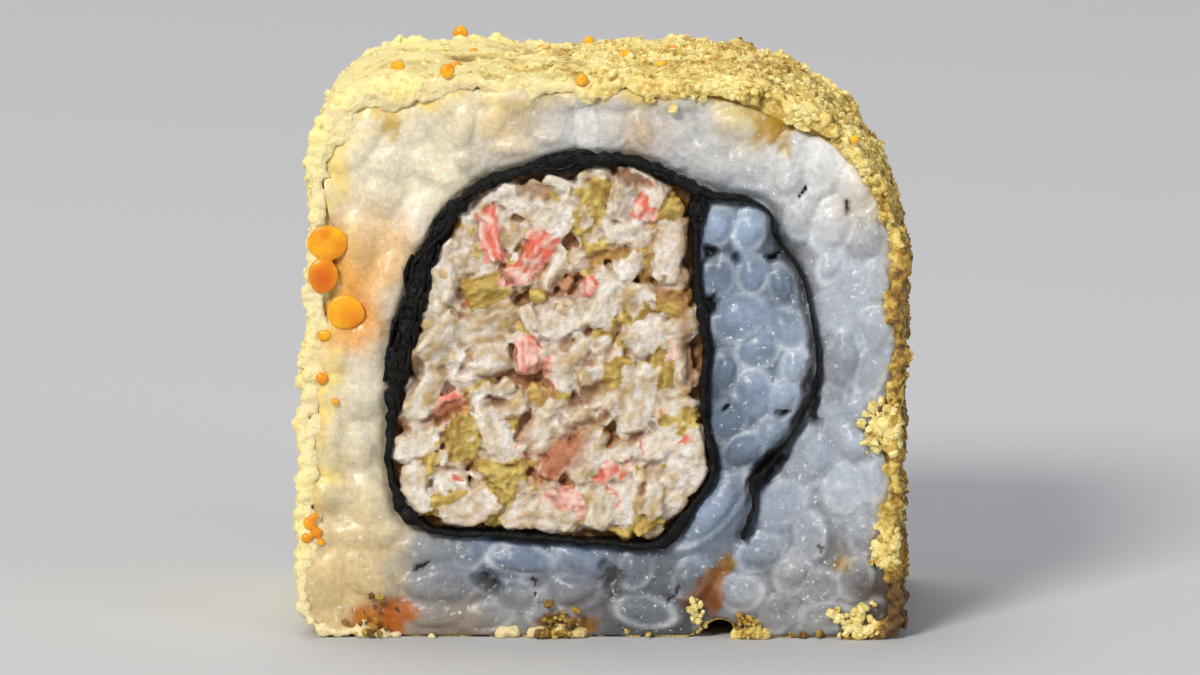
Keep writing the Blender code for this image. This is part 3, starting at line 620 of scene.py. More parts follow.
def visible_rice_outline(step):
    """The rice's outline at a cut face, where it lies over the coat's inner part."""

    def inset(point):
        bare = (1 - RICE_OVER_COAT) * (coat_thickness(point.x, point.y) - COAT_AT_FOOT)
        return RICE_EDGE + max(0.0, float(ramp(point.y, 0.8, 3.3)) * bare)

    return moved_in(step, inset, RICE_EDGE)


def filling_outline(step):
    """The nori's middle line where it closes round the filling."""
    return smooth_curve(NORI_ROUTE[: LOOP_CLOSES_AT + 1], step)


def inside(x, z, outline):
    """Whether a point lies within a closed outline."""
    crossings = False
    for a, b in zip(outline, outline[1:] + outline[:1]):
        if (a.y > z) != (b.y > z) and x < a.x + (b.x - a.x) * (z - a.y) / (b.y - a.y):
            crossings = not crossings
    return crossings


def nearest(x, z, line):
    """The distance from a point to the nearest point of a line."""
    return min(math.hypot(p.x - x, p.y - z) for p in line)


def draft(name, bm):
    """A linked object in millimetres from a bmesh, which is freed."""
    mesh = bpy.data.meshes.new(name)
    bm.to_mesh(mesh)
    bm.free()
    obj = bpy.data.objects.new(name, mesh)
    bpy.context.scene.collection.objects.link(obj)
    return obj


def baked(obj):
    """Applies an object's modifiers to its mesh."""
    bpy.context.view_layer.update()
    graph = bpy.context.evaluated_depsgraph_get()
    shaped = bpy.data.meshes.new_from_object(obj.evaluated_get(graph))
    obj.modifiers.clear()
    unshaped = obj.data
    obj.data = shaped
    bpy.data.meshes.remove(unshaped)


def fused(obj, voxel, smoothing, adaptivity=0.0):
    """Joins all that an object holds into one skin, and softens its creases."""
    remesh = obj.modifiers.new("Fuse", "REMESH")
    remesh.mode = "VOXEL"
    remesh.voxel_size = voxel * 1.0
    remesh.adaptivity = adaptivity
    soften = obj.modifiers.new("Soften", "SMOOTH")
    soften.factor = 0.5
    soften.iterations = smoothing
    baked(obj)


def finished(obj, material, slot, *nodes):
    """Scales a piece to metres, and makes it ride on the part in place of the nodes."""
    obj.data.transform(Matrix.Scale(MM, 4))
    obj.data.shade_smooth()
    obj.data.materials.clear()
    obj.data.materials.append(material)
    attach(obj, "root")
    if nodes:
        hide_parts(*nodes)
    return obj


def prism(bm, outline, front, back):
    """Adds an outline in X and Z, extruded along Y."""
    face = bm.faces.new([bm.verts.new((p.x, front, p.y)) for p in outline])
    made = bmesh.ops.extrude_face_region(bm, geom=[face])["geom"]
    moved = [v for v in made if isinstance(v, bmesh.types.BMVert)]
    bmesh.ops.translate(bm, verts=moved, vec=(0, back - front, 0))
    bmesh.ops.recalc_face_normals(bm, faces=bm.faces)


def prism_object(name, outline, front, back):
    """An object of an outline in X and Z, extruded along Y."""
    bm = bmesh.new()
    prism(bm, outline, front, back)
    return draft(name, bm)


def cut(obj, cutter):
    """Takes one object's shape out of another, and removes the cutter."""
    modifier = obj.modifiers.new("Cut", "BOOLEAN")
    modifier.operation = "DIFFERENCE"
    modifier.object = cutter
    baked(obj)
    bpy.data.objects.remove(cutter)


def skin(rings, closed):
    """A skin over closed rings of points, which joins the last ring to the first or fills both ends."""
    rows, columns = len(rings), len(rings[0])
    bm = bmesh.new()
    bmesh.ops.create_grid(bm, x_segments=columns, y_segments=rows if closed else rows - 1, size=1)
    bm.verts.ensure_lookup_table()
    for index, vert in enumerate(bm.verts):
        row, column = divmod(index, columns + 1)
        vert.co = rings[row % rows][column % columns]
    bmesh.ops.remove_doubles(bm, verts=bm.verts, dist=1e-5)
    if not closed:
        bmesh.ops.holes_fill(bm, edges=[e for e in bm.edges if e.is_boundary], sides=0)
    bmesh.ops.recalc_face_normals(bm, faces=bm.faces)
    return bm


def points_of(mesh):
    """Where a mesh's vertices are, one row each."""
    co = np.empty(len(mesh.vertices) * 3, np.float32)
    mesh.vertices.foreach_get("co", co)
    return co.reshape(-1, 3).astype(np.float64)


def normals_of(mesh):
    """The way out at each of a mesh's vertices."""
    found = np.empty(len(mesh.vertices) * 3, np.float32)
    mesh.vertices.foreach_get("normal", found)
    return found.reshape(-1, 3)


def put_points(mesh, co):
    """Moves a mesh's vertices to new places."""
    mesh.vertices.foreach_set("co", co.astype(np.float32).ravel())
    mesh.update()


def put_values(mesh, name, values):
    """Stores one number, or one colour, for each vertex."""
    if values.ndim == 1:
        data = mesh.attributes.new(name, "FLOAT", "POINT").data
        data.foreach_set("value", values.astype(np.float32))
    else:
        full = np.ones((len(values), 4), np.float32)
        full[:, :3] = values
        data = mesh.attributes.new(name, "FLOAT_COLOR", "POINT").data
        data.foreach_set("color", full.ravel())


def noise_at(co, pitch, shift=0.0):
    """Smooth noise at each point, about -1 to 1, whose bumps are a pitch apart."""
    moved = np.asarray(co) / pitch + shift
    return np.array([noise.noise(p) for p in moved.tolist()], np.float32)


def hollows(mesh, passes):
    """How far each vertex lies below the skin smoothed over some passes, in millimetres."""
    edges = np.empty(len(mesh.edges) * 2, np.int32)
    mesh.edges.foreach_get("vertices", edges)
    first, second = edges.reshape(-1, 2).T
    count = len(mesh.vertices)
    degree = np.maximum(np.bincount(first, minlength=count) + np.bincount(second, minlength=count), 1)
    co = points_of(mesh)
    smooth = co
    for _ in range(passes):
        total = [
            np.bincount(first, smooth[second, k], count) + np.bincount(second, smooth[first, k], count)
            for k in range(3)
        ]
        smooth = np.stack(total, axis=1) / degree[:, None]
    return ((smooth - co) * normals_of(mesh)).sum(axis=1)


def template(make):
    """The points and faces of a small shape that a bmesh operator makes."""
    bm = bmesh.new()
    make(bm)
    points = np.array([v.co for v in bm.verts])
    faces = np.array([[v.index for v in face.verts] for face in bm.faces])
    bm.free()
    return points, faces


def ball(subdivisions):
    """A maker of a ball 1 wide, cut the finer the more subdivisions it has."""

    def make(bm):
        bmesh.ops.create_icosphere(bm, subdivisions=subdivisions, radius=0.5)

    return make


def block(cuts):
    """A maker of a cube 2 wide with its edges cut a number of times."""

    def make(bm):
        bmesh.ops.create_cube(bm, size=2.0)
        bmesh.ops.subdivide_edges(bm, edges=bm.edges, cuts=cuts, use_grid_fill=True)

    return make


def joined(name, points, faces, tones=None):
    """One linked object of copies of a shape, from an array with each copy's points."""
    count, size = points.shape[:2]
    every = faces[None] + (np.arange(count) * size)[:, None, None]
    mesh = bpy.data.meshes.new(name)
    mesh.from_pydata(points.reshape(-1, 3), [], every.reshape(-1, faces.shape[1]))
    if tones is not None:
        put_values(mesh, "tone", np.repeat(np.asarray(tones), size))
    obj = bpy.data.objects.new(name, mesh)
    bpy.context.scene.collection.objects.link(obj)
    return obj


def rough_balls(shape, centres, sizes, rng, uneven=0.25):
    """Points of one uneven, turned and stretched copy of a ball at each centre."""
    count = len(centres)
    turns = np.linalg.qr(rng.normal(size=(count, 3, 3)))[0]
    turns *= np.sign(np.linalg.det(turns))[:, None, None]
    stretch = rng.uniform(0.65, 1.3, (count, 1, 3)) * np.asarray(sizes)[:, None, None]
    rough = rng.uniform(1 - uneven, 1 + uneven, (count, len(shape), 1))
    return (shape[None] * rough * stretch) @ turns + np.asarray(centres)[:, None, :]


def gathered(name, objects):
    """Joins objects into the first one, which takes the name."""
    bm = bmesh.new()
    for obj in objects:
        bm.from_mesh(obj.data)
    mesh = bpy.data.meshes.new(name)
    bm.to_mesh(mesh)
    bm.free()
    first, *others = objects
    first.data = mesh
    first.name = name
    for obj in others:
        bpy.data.objects.remove(obj)
    return first


def add(tree, kind, values=None, links=None):
    """Adds one node, sets its values by attribute or input, and links its inputs."""
    node = tree.nodes.new(kind)
    for key, value in (values or {}).items():
        if isinstance(key, str) and hasattr(node, key):
            setattr(node, key, value)
        else:
            node.inputs[key].default_value = value
    for key, source in (links or {}).items():
        tree.links.new(source, node.inputs[key])
    return node


def new_material(name):
    """An empty node material, its node tree, and the place on the piece in its own frame."""
    material = bpy.data.materials.new(name)
    material.use_nodes = True
    tree = material.node_tree
    tree.nodes.clear()
    return material, tree, add(tree, "ShaderNodeTexCoord").outputs["Object"]


def shaded(tree, values, links):
    """Ends a material with its one shader."""
    shader = add(tree, "ShaderNodeBsdfPrincipled", values, links)
    add(tree, "ShaderNodeOutputMaterial", links={"Surface": shader.outputs["BSDF"]})


def glow(weight, radius, depth):
    """Shader values for light that enters to a depth in millimetres and comes out again."""
    return {"Subsurface Weight": weight, "Subsurface Radius": radius, "Subsurface Scale": depth * MM}


def carried(tree, name, output="Fac"):
    """A value or colour that the piece's vertices carry."""
    return add(tree, "ShaderNodeAttribute", {"attribute_name": name}).outputs[output]


def reckoned(tree, operation, first, second):
    """Two values added or multiplied."""
    return add(tree, "ShaderNodeMath", {"operation": operation}, {0: first, 1: second}).outputs[0]


def lightened(tree, tint, factor):
    """A colour scaled by a factor."""
    node = add(tree, "ShaderNodeVectorMath", {"operation": "SCALE"}, {0: tint, "Scale": factor})
    return node.outputs["Vector"]


def relief(tree, strength, height, pattern, below=None):
    """The normals of a pattern raised to a height in millimetres, over those of a relief below it."""
    links = {"Height": pattern}
    if below is not None:
        links["Normal"] = below
    node = add(tree, "ShaderNodeBump", {"Strength": strength, "Distance": height * MM}, links)
    return node.outputs["Normal"]


def blend(tree, factor, first, second, mode="MIX"):
    """The colour output of a mix of two colours, each a socket or a constant."""
    node = add(tree, "ShaderNodeMix", {"data_type": "RGBA", "blend_type": mode})
    for key, source in ((0, factor), (6, first), (7, second)):
        if isinstance(source, bpy.types.NodeSocket):
            tree.links.new(source, node.inputs[key])
        else:
            node.inputs[key].default_value = source if key == 0 else (*source[:3], 1.0)
    return node.outputs[2]


def ranged(tree, source, low, high, to_low=0.0, to_high=1.0):
    """A value taken from one range to another, and held within it."""
    return add(
        tree,
        "ShaderNodeMapRange",
        {"From Min": low, "From Max": high, "To Min": to_low, "To Max": to_high},
        {"Value": source},
    ).outputs["Result"]


def noisy(tree, place, size, detail=3.0, rough=0.5):
    """A noise pattern of a size in millimetres, from 0 to 1."""
    return add(
        tree,
        "ShaderNodeTexNoise",
        {"Scale": per_mm(size), "Detail": detail, "Roughness": rough},
        {"Vector": place},
    ).outputs["Fac"]


def rice_material(settings):
    """Short-grain rice, steamed and pressed: clear starch that glows a little, wet all over."""
    material, tree, place = new_material("rice_steamed_short_grain")
    crease_shade = carried(tree, "crease_shade")
    patchy = ranged(tree, noisy(tree, place, 2.2, detail=2), 0.36, 0.62, 0.0, 0.72)
    # painted highlight: grain edges lightened towards the pale rim colour
    painted_rim_highlight = reckoned(tree, "MULTIPLY", patchy, ranged(tree, carried(tree, "edge"), 0.0, 1.0))
    lit = blend(tree, painted_rim_highlight, carried(tree, "stain_and_shade", "Color"), settings.rim)
    # painted shade: darker between grains, below the cut face and deep in the gaps
    deep = blend(tree, ranged(tree, crease_shade, 0.0, 0.6, 0.0, 0.62), lit, settings.crease_shade, "MULTIPLY")
    hole = blend(tree, ranged(tree, crease_shade, 0.6, 1.0, 0.0, 0.92), deep, settings.gap)
    fleck = ranged(tree, noisy(tree, place, 0.45, detail=4, rough=0.7), 0.35, 0.7, -0.14, 0.15)
    cloud = ranged(tree, noisy(tree, place, 1.6, detail=4), 0.3, 0.7, -0.1, 0.1)
    tone = ranged(tree, carried(tree, "tone"), -1.0, 1.0, 0.76, 1.18)
    varied = reckoned(tree, "ADD", tone, reckoned(tree, "ADD", fleck, cloud))
    # painted glints: tiny white dots of glare on the wet film, mixed into the colour
    film = ranged(tree, noisy(tree, place, 2.0, detail=2), 0.45, 0.65, 0.0, 0.7)
    dots = ranged(tree, noisy(tree, place, 0.33, detail=2), 0.62, 0.72)
    painted_glint = reckoned(tree, "MULTIPLY", film, dots)
    grit = noisy(tree, place, 0.3, detail=3)
    fine = relief(tree, 0.4, 0.12, grit)
    shaded(
        tree,
        {"IOR": 1.42, **glow(0.3, (1.0, 0.85, 0.7), 0.9), "Coat Weight": 0.12, "Coat Roughness": 0.2},
        {
            "Base Color": blend(tree, painted_glint, lightened(tree, hole, varied), settings.starch),
            "Roughness": ranged(tree, grit, 0.3, 0.7, 0.25, 0.55),
            "Normal": relief(tree, 0.3, 0.25, noisy(tree, place, 0.9, detail=2), fine),
        },
    )
    return material


def nori_material(settings):
    """Dried laver sheet, damp from the rice: near black, fibrous, with wet glints."""
    material, tree, place = new_material("nori_pressed_laver")
    combed = add(tree, "ShaderNodeMapping", {"Scale": (1.0, 0.3, 1.0)}, {"Vector": place})
    fibre = noisy(tree, combed.outputs["Vector"], 0.35, detail=4, rough=0.65)
    shaded(
        tree,
        {"IOR": 1.45, "Specular IOR Level": 0.22},
        {
            "Base Color": blend(
                tree, ranged(tree, fibre, 0.55, 0.75, 0.0, 0.6), settings.body, settings.worn
            ),
            "Roughness": ranged(tree, noisy(tree, place, 0.8, detail=2), 0.4, 0.6, 0.22, 0.6),
            "Normal": relief(tree, 0.7, 0.25, fibre),
        },
    )
    return material


def filling_material():
    """Shredded fish and egg dressed with sauce: fibrous, moist, with a dull shine."""
    material, tree, place = new_material("filling_shredded_dressed")
    grain = noisy(tree, place, 0.35, detail=4, rough=0.65)
    cloud = ranged(tree, noisy(tree, place, 1.3, detail=3), 0.42, 0.68, 0.0, 0.45)
    soaked = blend(tree, cloud, carried(tree, "stain_and_shade", "Color"), linear("#C9AE74"), "MULTIPLY")
    # the carried tone here is painted shade, darker in the hollows between pieces
    tone = ranged(tree, carried(tree, "tone"), -1.0, 1.0, 0.62, 1.2)
    shift = reckoned(tree, "ADD", tone, ranged(tree, grain, 0.35, 0.65, -0.14, 0.1))
    shaded(
        tree,
        {"IOR": 1.4, **glow(0.15, (1.0, 0.7, 0.45), 0.5)},
        {
            "Base Color": lightened(tree, soaked, shift),
            "Roughness": ranged(tree, grain, 0.35, 0.65, 0.28, 0.6),
            "Normal": relief(tree, 0.7, 0.25, grain),
        },
    )
    return material


def coat_material(settings):
    """Fried batter crumb: rough and oily, pale on its peaks, golden and brown in its pits, partly oil and
    partly painted shade; its tone also holds painted shade at the foot and down the right side.
    """
    material, tree, place = new_material("coat_fried_batter_crumb")
    grit = noisy(tree, place, 0.3, detail=4, rough=0.6)
    patch = noisy(tree, place, 3.0, detail=3)
    pits = noisy(tree, place, 1.1, detail=4, rough=0.6)
    fried = carried(tree, "tone")
    for change in (
        ranged(tree, patch, 0.3, 0.7, -0.24, 0.22),
        ranged(tree, grit, 0.3, 0.7, -0.25, 0.2),
        ranged(tree, pits, 0.3, 0.42, -0.4, 0.0),
    ):
        fried = reckoned(tree, "ADD", fried, change)
    # the darkest colours also stand for painted shade at the foot, down the right side and in the pits
    body = settings.burnt
    for low, high, tint in (
        (-0.8, -0.2, settings.brown),
        (0.0, 0.32, settings.oily),
        (0.3, 0.62, settings.golden),
        (0.58, 0.95, settings.pale),
    ):
        body = blend(tree, ranged(tree, fried, low, high), body, tint)
    shaded(
        tree,
        {"IOR": 1.45, **glow(0.15, (1.0, 0.7, 0.3), 0.5)},
        {
            "Base Color": blend(tree, carried(tree, "thin"), body, settings.thin),
            "Roughness": ranged(tree, patch, 0.35, 0.65, 0.38, 0.7),
            "Normal": relief(tree, 0.8, 0.3, grit),
        },
    )
    return material


def roe_material():
    """Salted fish roe: clear orange beads with a wet skin and a darker heart."""
    material, tree, place = new_material("roe_salted")
    cloudy = ranged(tree, noisy(tree, place, 1.3, detail=2), 0.42, 0.66)
    clouded = blend(tree, cloudy, linear("#F7B41A"), linear("#E38C0C"))
    heart = ranged(tree, carried(tree, "heart"), 0.1, 1.0)
    shaded(
        tree,
        {
            "Roughness": 0.36,
            "IOR": 1.36,
            **glow(0.4, (1.0, 0.5, 0.15), 0.8),
            "Coat Weight": 0.2,
            "Coat Roughness": 0.12,
        },
        {"Base Color": blend(tree, heart, clouded, linear("#D06000"))},
    )
    return material


def floor_material(settings):
    """Matt card: even and pale, with a faint tooth."""
    material, tree, place = new_material("floor_matt_card")
    shaded(
        tree,
        {"Base Color": (*settings.floor, 1.0), "Roughness": 0.9, "Specular IOR Level": 0.2},
        {"Normal": relief(tree, 0.05, 0.1, noisy(tree, place, 1.2, detail=2))},
    )
    return material


def random_grains(draw):
    """Grains over the whole rice section, by an uneven honeycomb; along an edge they follow it."""
    outline = visible_rice_outline(OUTLINE_STEP)
    filling = filling_outline(CORE_STEP)
    sheet = smooth_curve(NORI_ROUTE, 0.5)
    row_step = GRAIN_SPACING * math.sqrt(3) / 2
    grains = []
    for row in range(round(HEIGHT / row_step) + 1):
        for column in range(-9, 10):
            x = (column + 0.5 * (row % 2)) * GRAIN_SPACING + draw.uniform(-0.4, 0.4)
            z = row * row_step + draw.uniform(-0.4, 0.4)
            if not inside(x, z, outline) or inside(x, z, filling):
                continue
            edge = min((sheet, outline), key=lambda line: nearest(x, z, line))
            room = nearest(x, z, edge)
            if room < 0.9:
                continue
            turn = draw.uniform(0, 180)
            if room < 2.2:
                k = min(range(1, len(edge)), key=lambda i: math.hypot(edge[i].x - x, edge[i].y - z))
                along = edge[k] - edge[k - 1]
                turn = math.degrees(math.atan2(along.y, along.x)) + draw.uniform(-12, 12)
            grains.append((x, z, draw.choice(GRAIN_LENGTHS), draw.uniform(2.1, 2.7), turn))
    return grains


def melting(x):
    """How far the grains at x have melted together, from 0 to 1: warm batter softened the left."""
    return ramp(x, MELTED_LEFT_OF, MELTED_LEFT_OF - 4)


def clarity(x, z, draw):
    """How crisp a grain's edge is, from 0 to 1: crisp in the pocket and low down, melted at the left."""
    pocket = 7.0 < x < 14.0 and 11.0 < z < 29.5
    low = z < 10.5
    reach = (0.7, 1.0) if pocket else (0.45, 1.0) if low else (0.1, 0.85)
    return draw.uniform(*reach) * (1 - float(melting(x)))


def grain_frames(grains, side, draw):
    """Each grain's middle, turn, half sizes and clarity; an unclear one is larger, so it merges."""
    frames = []
    for x, z, long_way, width, degrees in grains:
        melted = float(melting(x))
        clear = clarity(x, z, draw)
        merged = GRAIN_MERGE + GRAIN_BLUR * (1 - clear) + MELTED_MERGE * melted
        thick = 0.62 * width + 0.4
        turn = Matrix.Rotation(-math.radians(degrees), 3, "Y")
        turn = turn @ Matrix.Rotation(draw.uniform(-0.08, 0.08), 3, "Z")
        turn = turn @ Matrix.Rotation(draw.uniform(-0.08, 0.08), 3, "X")
        sunk = draw.uniform(0.0, GRAIN_SUNK) * (1 - 0.6 * melted)
        middle = Vector((x, side * (FACE + 0.05 - sunk - thick), z))
        frames.append((middle, turn, Vector((merged * long_way / 2, thick, merged * width / 2)), clear))
    return frames


def grain_points(shape, frames):
    """Points of all grains: ovals with flattened fronts and slightly uneven skins."""
    every = []
    for k, (middle, turn, half, clear) in enumerate(frames):
        flat = shape * 2
        flat[:, 1] = np.sign(flat[:, 1]) * np.abs(flat[:, 1]) ** (0.6 + 0.25 * clear)
        lumpy = 1 + 0.16 * noise_at(flat, 0.9, 7.3 * k)
        every.append((flat * lumpy[:, None] * half) @ np.array(turn).T + np.array(middle))
    return np.array(every)


def blended(co, patches, base, base_weight):
    """The colour at each point, blended from soft patches with wandering edges over a base colour."""
    wander = [0.7 * noise_at(co, 1.6, k) + 0.35 * noise_at(co, 0.55, 20 + k) for k in (1.0, 8.0)]
    total = np.full(len(co), base_weight)
    colours = np.outer(total, linear(base))
    for x, z, reach, code, weight in patches:
        away = (co[:, 0] + wander[0] - x) ** 2 + (co[:, 2] + wander[1] - z) ** 2
        near = weight * np.exp(-away / (2 * reach**2))
        total = total + near
        colours += np.outer(near, linear(code))
    return colours / total[:, None]


def nearest_on(co, line):
    """For each point, the number of the line's nearest point, seen along Y, and how far it is."""
    flat = np.array([(p.x, p.y) for p in line])
    step = np.empty(len(co), np.int64)
    at_once = 20000
    for start in range(0, len(co), at_once):
        part = co[start : start + at_once][:, (0, 2)]
        step[start : start + at_once] = ((part[:, None] - flat[None]) ** 2).sum(axis=2).argmin(axis=1)
    return step, np.linalg.norm(co[:, (0, 2)] - flat[step], axis=1)


def near_outline(co, outline):
    """For each point, how far it lies outside a clockwise outline, and the way out there."""
    flat = np.array([(p.x, p.y) for p in outline])
    ways = np.array([(n.x, n.y) for n in outward_normals(outline)])
    step, _ = nearest_on(co, outline)
    away = ((co[:, (0, 2)] - flat[step]) * ways[step]).sum(axis=1)
    return away, ways[step]


def push(co, ways, amounts):
    """Moves points along their ways out, or inwards where the amount is less than nothing."""
    co[:, 0] += ways[:, 0] * amounts
    co[:, 2] += ways[:, 1] * amounts


def hold_within(mesh, outline, most):
    """Presses in whatever stands out of an outline by more than the most."""
    co = points_of(mesh)
    away, ways = near_outline(co, outline)
    push(co, ways, -np.maximum(away - most, 0))
    put_points(mesh, co)


def close_to(co, x, z, reach):
    """The numbers of the points that lie near a place, seen along Y."""
    return np.flatnonzero((np.abs(co[:, (0, 2)] - (x, z)) < reach).all(axis=1))


def sink(co, amounts):
    """Moves points in from the cut face that they are nearer to."""
    co[:, 1] -= np.sign(co[:, 1]) * amounts


def sink_gaps(mesh, gaps, depth):
    """Presses the surface in at the gaps, and returns how much at each vertex, from 0 to 1."""
    co = points_of(mesh)
    sunk = np.zeros(len(co))
    for x, z, long_way, wide, degrees, darkness in gaps:
        near = close_to(co, x, z, 2 * long_way + 1)
        swings = [
            0.4 * noise_at(co[near], 0.9, k) + 0.2 * noise_at(co[near], 0.4, k) for k in (x, 9 + z)
        ]
        bent = co[near][:, (0, 2)] + np.stack(swings, axis=1)
        turn = math.radians(degrees)
        flat = (bent - (x, z)) @ np.array(
            ((math.cos(turn), -math.sin(turn)), (math.sin(turn), math.cos(turn)))
        )
        away = np.hypot(flat[:, 0] / long_way, flat[:, 1] / wide)
        sunk[near] = np.maximum(sunk[near], darkness * np.clip(1.7 - away, 0, 1))
    outer = np.abs(co[:, 1]) > -RICE_SLAB[1] + 0.5
    sink(co, depth * sunk * outer)
    put_points(mesh, co)
    return sunk


def sink_groove(mesh, line, halves):
    """Presses the surface in along the sheet, so that the sheet shows between two soft edges."""
    co = points_of(mesh)
    step, away = nearest_on(co, line)
    groove = np.exp(-((np.maximum(away - 0.7 * np.array(halves)[step], 0) / 0.3) ** 2))
    outer = ramp(np.abs(co[:, 1]), 10.2, 11.2)
    sink(co, NORI_GROOVE * groove * outer)
    put_points(mesh, co)
    return groove


def put_grain_values(mesh, frames, gaps, draw):
    """Stores each vertex's colour with its stains and painted shade, its grain's tone, the painted highlight
    at a grain's edge, and the painted shade where it is sunk in creases and gaps.
    """
    sunk = sink_gaps(mesh, gaps, GAP_DEPTH)
    groove = sink_groove(mesh, *sheet_line())
    co = points_of(mesh)
    first = np.full(len(co), 2.0)
    tone = np.zeros(len(co))
    clear = np.zeros(len(co))
    for middle, turn, half, grain_clear in frames:
        close = close_to(co, middle.x, middle.z, max(half) + 1.0)
        local = (co[close] - np.array(middle)) @ np.array(turn)
        across = np.hypot(local[:, 0] / half[0], local[:, 2] / half[2])
        gap = (across - 1) * min(half[0], half[2])
        closer = gap < first[close]
        tone[close] = np.where(closer, draw.uniform(-1, 1), tone[close])
        clear[close] = np.where(closer, grain_clear, clear[close])
        first[close] = np.minimum(first[close], gap)
    crisp = clear * np.clip(0.75 + 0.9 * noise_at(co, 2.4, 4.0), 0, 1)
    between = ramp(first, -0.05, 0.25) * (0.35 + 0.65 * clear)
    sink(co, 0.25 * between * (np.abs(co[:, 1]) > 10.8))
    put_points(mesh, co)
    # stains, with the painted shade of the colour table
    stain_and_shade = blended(co, RICE_STAINS_AND_SHADE, RICE_BASE, RICE_BASE_WEIGHT)
    soaked = soaking(co)[:, None]
    stain_and_shade = stain_and_shade * (1 - soaked) + np.array(linear(BATTER_SOAKED)) * soaked
    put_values(mesh, "stain_and_shade", stain_and_shade)
    put_values(mesh, "tone", tone * (0.2 + 0.8 * np.sqrt(clear)))
    # painted highlight along each grain's edge
    put_values(mesh, "edge", np.exp(-(((first + 0.17) / 0.16) ** 2)) * crisp)
    # painted shade: darker below the cut face, between grains, beside the sheet and in the gaps
    low = 0.35 * ramp(np.abs(co[:, 1]), 11.5, 10.8) * (1 - 0.7 * melting(co[:, 0]))
    crease_shade = low + 0.6 * between * crisp + 0.05 * groove
    put_values(mesh, "crease_shade", np.clip(np.maximum(crease_shade, 1.1 * sunk), 0, 1))


def soaking(co):
    """How far batter has soaked into the rice at each point, from 0 to 0.9."""
    x, z = co[:, 0], co[:, 2]
    away, _ = near_outline(co, block_outline(OUTLINE_STEP))
    left = ramp(x, -9, -15)
    near = np.clip(1.1 - (-away - batter_reach(co)) / (1.6 + 1.6 * left), 0, 1) ** 2
    where = np.maximum(left * ramp(z, 6, 12), ramp(z, 33, 35.5))
    where = np.maximum(where, 0.35 * ramp(x, 14, 17) * ramp(z, 3, 6))
    return np.clip(near * where * (0.7 + 1.1 * noise_at(co, 1.5, 60.0)), 0, 0.9)


def rice_layer(name, grains, gaps, side, settings, material):
    """The rice at one cut face: a slab with whole grains fused on, in one skin."""
    draw = random.Random(SEEDS[name])
    outer, inner = (side * -y for y in RICE_SLAB)
    slab = prism_object(name, visible_rice_outline(OUTLINE_STEP), outer, inner)
    reach = FACE + 1.0
    cut(slab, prism_object("filling_space", filling_outline(CORE_STEP), -reach, reach))
    frames = grain_frames(grains, side, draw)
    shape, faces = template(ball(3))
    grains = joined("grains", grain_points(shape, frames), faces)
    layer = gathered(name, [slab, grains])
    fused(layer, settings.voxel / MM, smoothing=2)
    hold_within(layer.data, visible_rice_outline(OUTLINE_STEP), 0.15)
    put_grain_values(layer.data, frames, gaps, draw)
    finished(layer, material, "rice", "rice")


def rice_core(material):
    """The rice between the two faces, which nothing shows."""
    depth = RICE_CORE_HALF_DEPTH
    core = prism_object("rice_core", rice_outline(CORE_STEP), -depth, depth)
    cut(core, prism_object("filling_space", filling_outline(CORE_STEP), -FACE, FACE))
    co = points_of(core.data)
    put_values(core.data, "stain_and_shade", blended(co, RICE_STAINS_AND_SHADE, RICE_BASE, RICE_BASE_WEIGHT))
    for name in ("tone", "edge", "crease_shade"):
        put_values(core.data, name, np.zeros(len(co)))
    finished(core, material, "rice", "rice")


def make_rice(settings):
    """The rice at both cut faces, and the mass between them."""
    material = rice_material(settings)
    rice_layer("rice_front", FRONT_GRAINS, FRONT_GAPS, -1, settings, material)
    draw = random.Random(SEEDS["back_grains"])
    grains = random_grains(draw)
    gaps = []
    for x, z, *_ in grains[::7]:
        x += draw.uniform(-1, 1)
        half_sizes = draw.uniform(0.3, 0.8), draw.uniform(0.1, 0.3)
        gaps.append((x, z, *half_sizes, draw.uniform(0, 180), 0.9))
    rice_layer("rice_back", grains, gaps, 1, settings, material)
    rice_core(material)


def across_at(line, i):
    """The way across an open line at one of its points."""
    along = line[min(i + 1, len(line) - 1)] - line[max(i - 1, 0)]
    return Vector((-along.y, along.x)).normalized()


def nori_rings(line, halves, reach, draw, fray):
    """Rings round a sheet's section: across it and along Y, one ring at each point of its line."""
    depths = (-1.0, -0.985, -0.96, -0.9, -0.7, -0.3, 0.3, 0.7, 0.9, 0.96, 0.985, 1.0)
    back_edge, front_edge = (1.0,), (-1.0,)
    round_it = (
        (1, depths), (0.34, back_edge), (-0.34, back_edge),
        (-1, depths[::-1]), (-0.34, front_edge), (0.34, front_edge),
    )
    rings = []
    for i, (point, half) in enumerate(zip(line, halves)):
        across = across_at(line, i)
        front, back = (
            reach + fray * noise.noise((0.9 * point.x, level, 0.9 * point.y)) + draw.uniform(-0.12, 0.12)
            for level in (3.0, 9.0)
        )
        ring = []
        for side, steps in round_it:
            for share in steps:
                pinch = 0.85 if abs(share) > 0.99 and abs(side) > 0.9 else 1.0
                bulge = draw.uniform(-0.1, 0.12) if abs(side) < 0.9 else 0.0
                y = share * (back if share > 0 else front) + math.copysign(bulge, share)
                wave = 0.12 * noise.noise((0.7 * point.x, 0.5 * y, 0.7 * point.y))
                torn = 1 + 0.75 * noise.noise((1.9 * point.x, 0.4 * y + 6 * side, 1.9 * point.y))
                x, z = point + across * (half * side * pinch * torn + wave)
                ring.append((x, y, z))
        rings.append(ring)
    return rings


def sheet_line():
    """The sheet's middle line with its inner end, and half its thickness at each point."""
    line = smooth_curve((NORI_INNER_END, *NORI_ROUTE), NORI_STEP)
    halves = []
    for p in line:
        stretched = 1 - NORI_STRETCH * float(ramp(p.x, 9, 11))
        halves.append(stretched * NORI_HALF + NORI_SWELL * bump(p.x, p.y, NORI_CRUMPLES))
    return line, halves


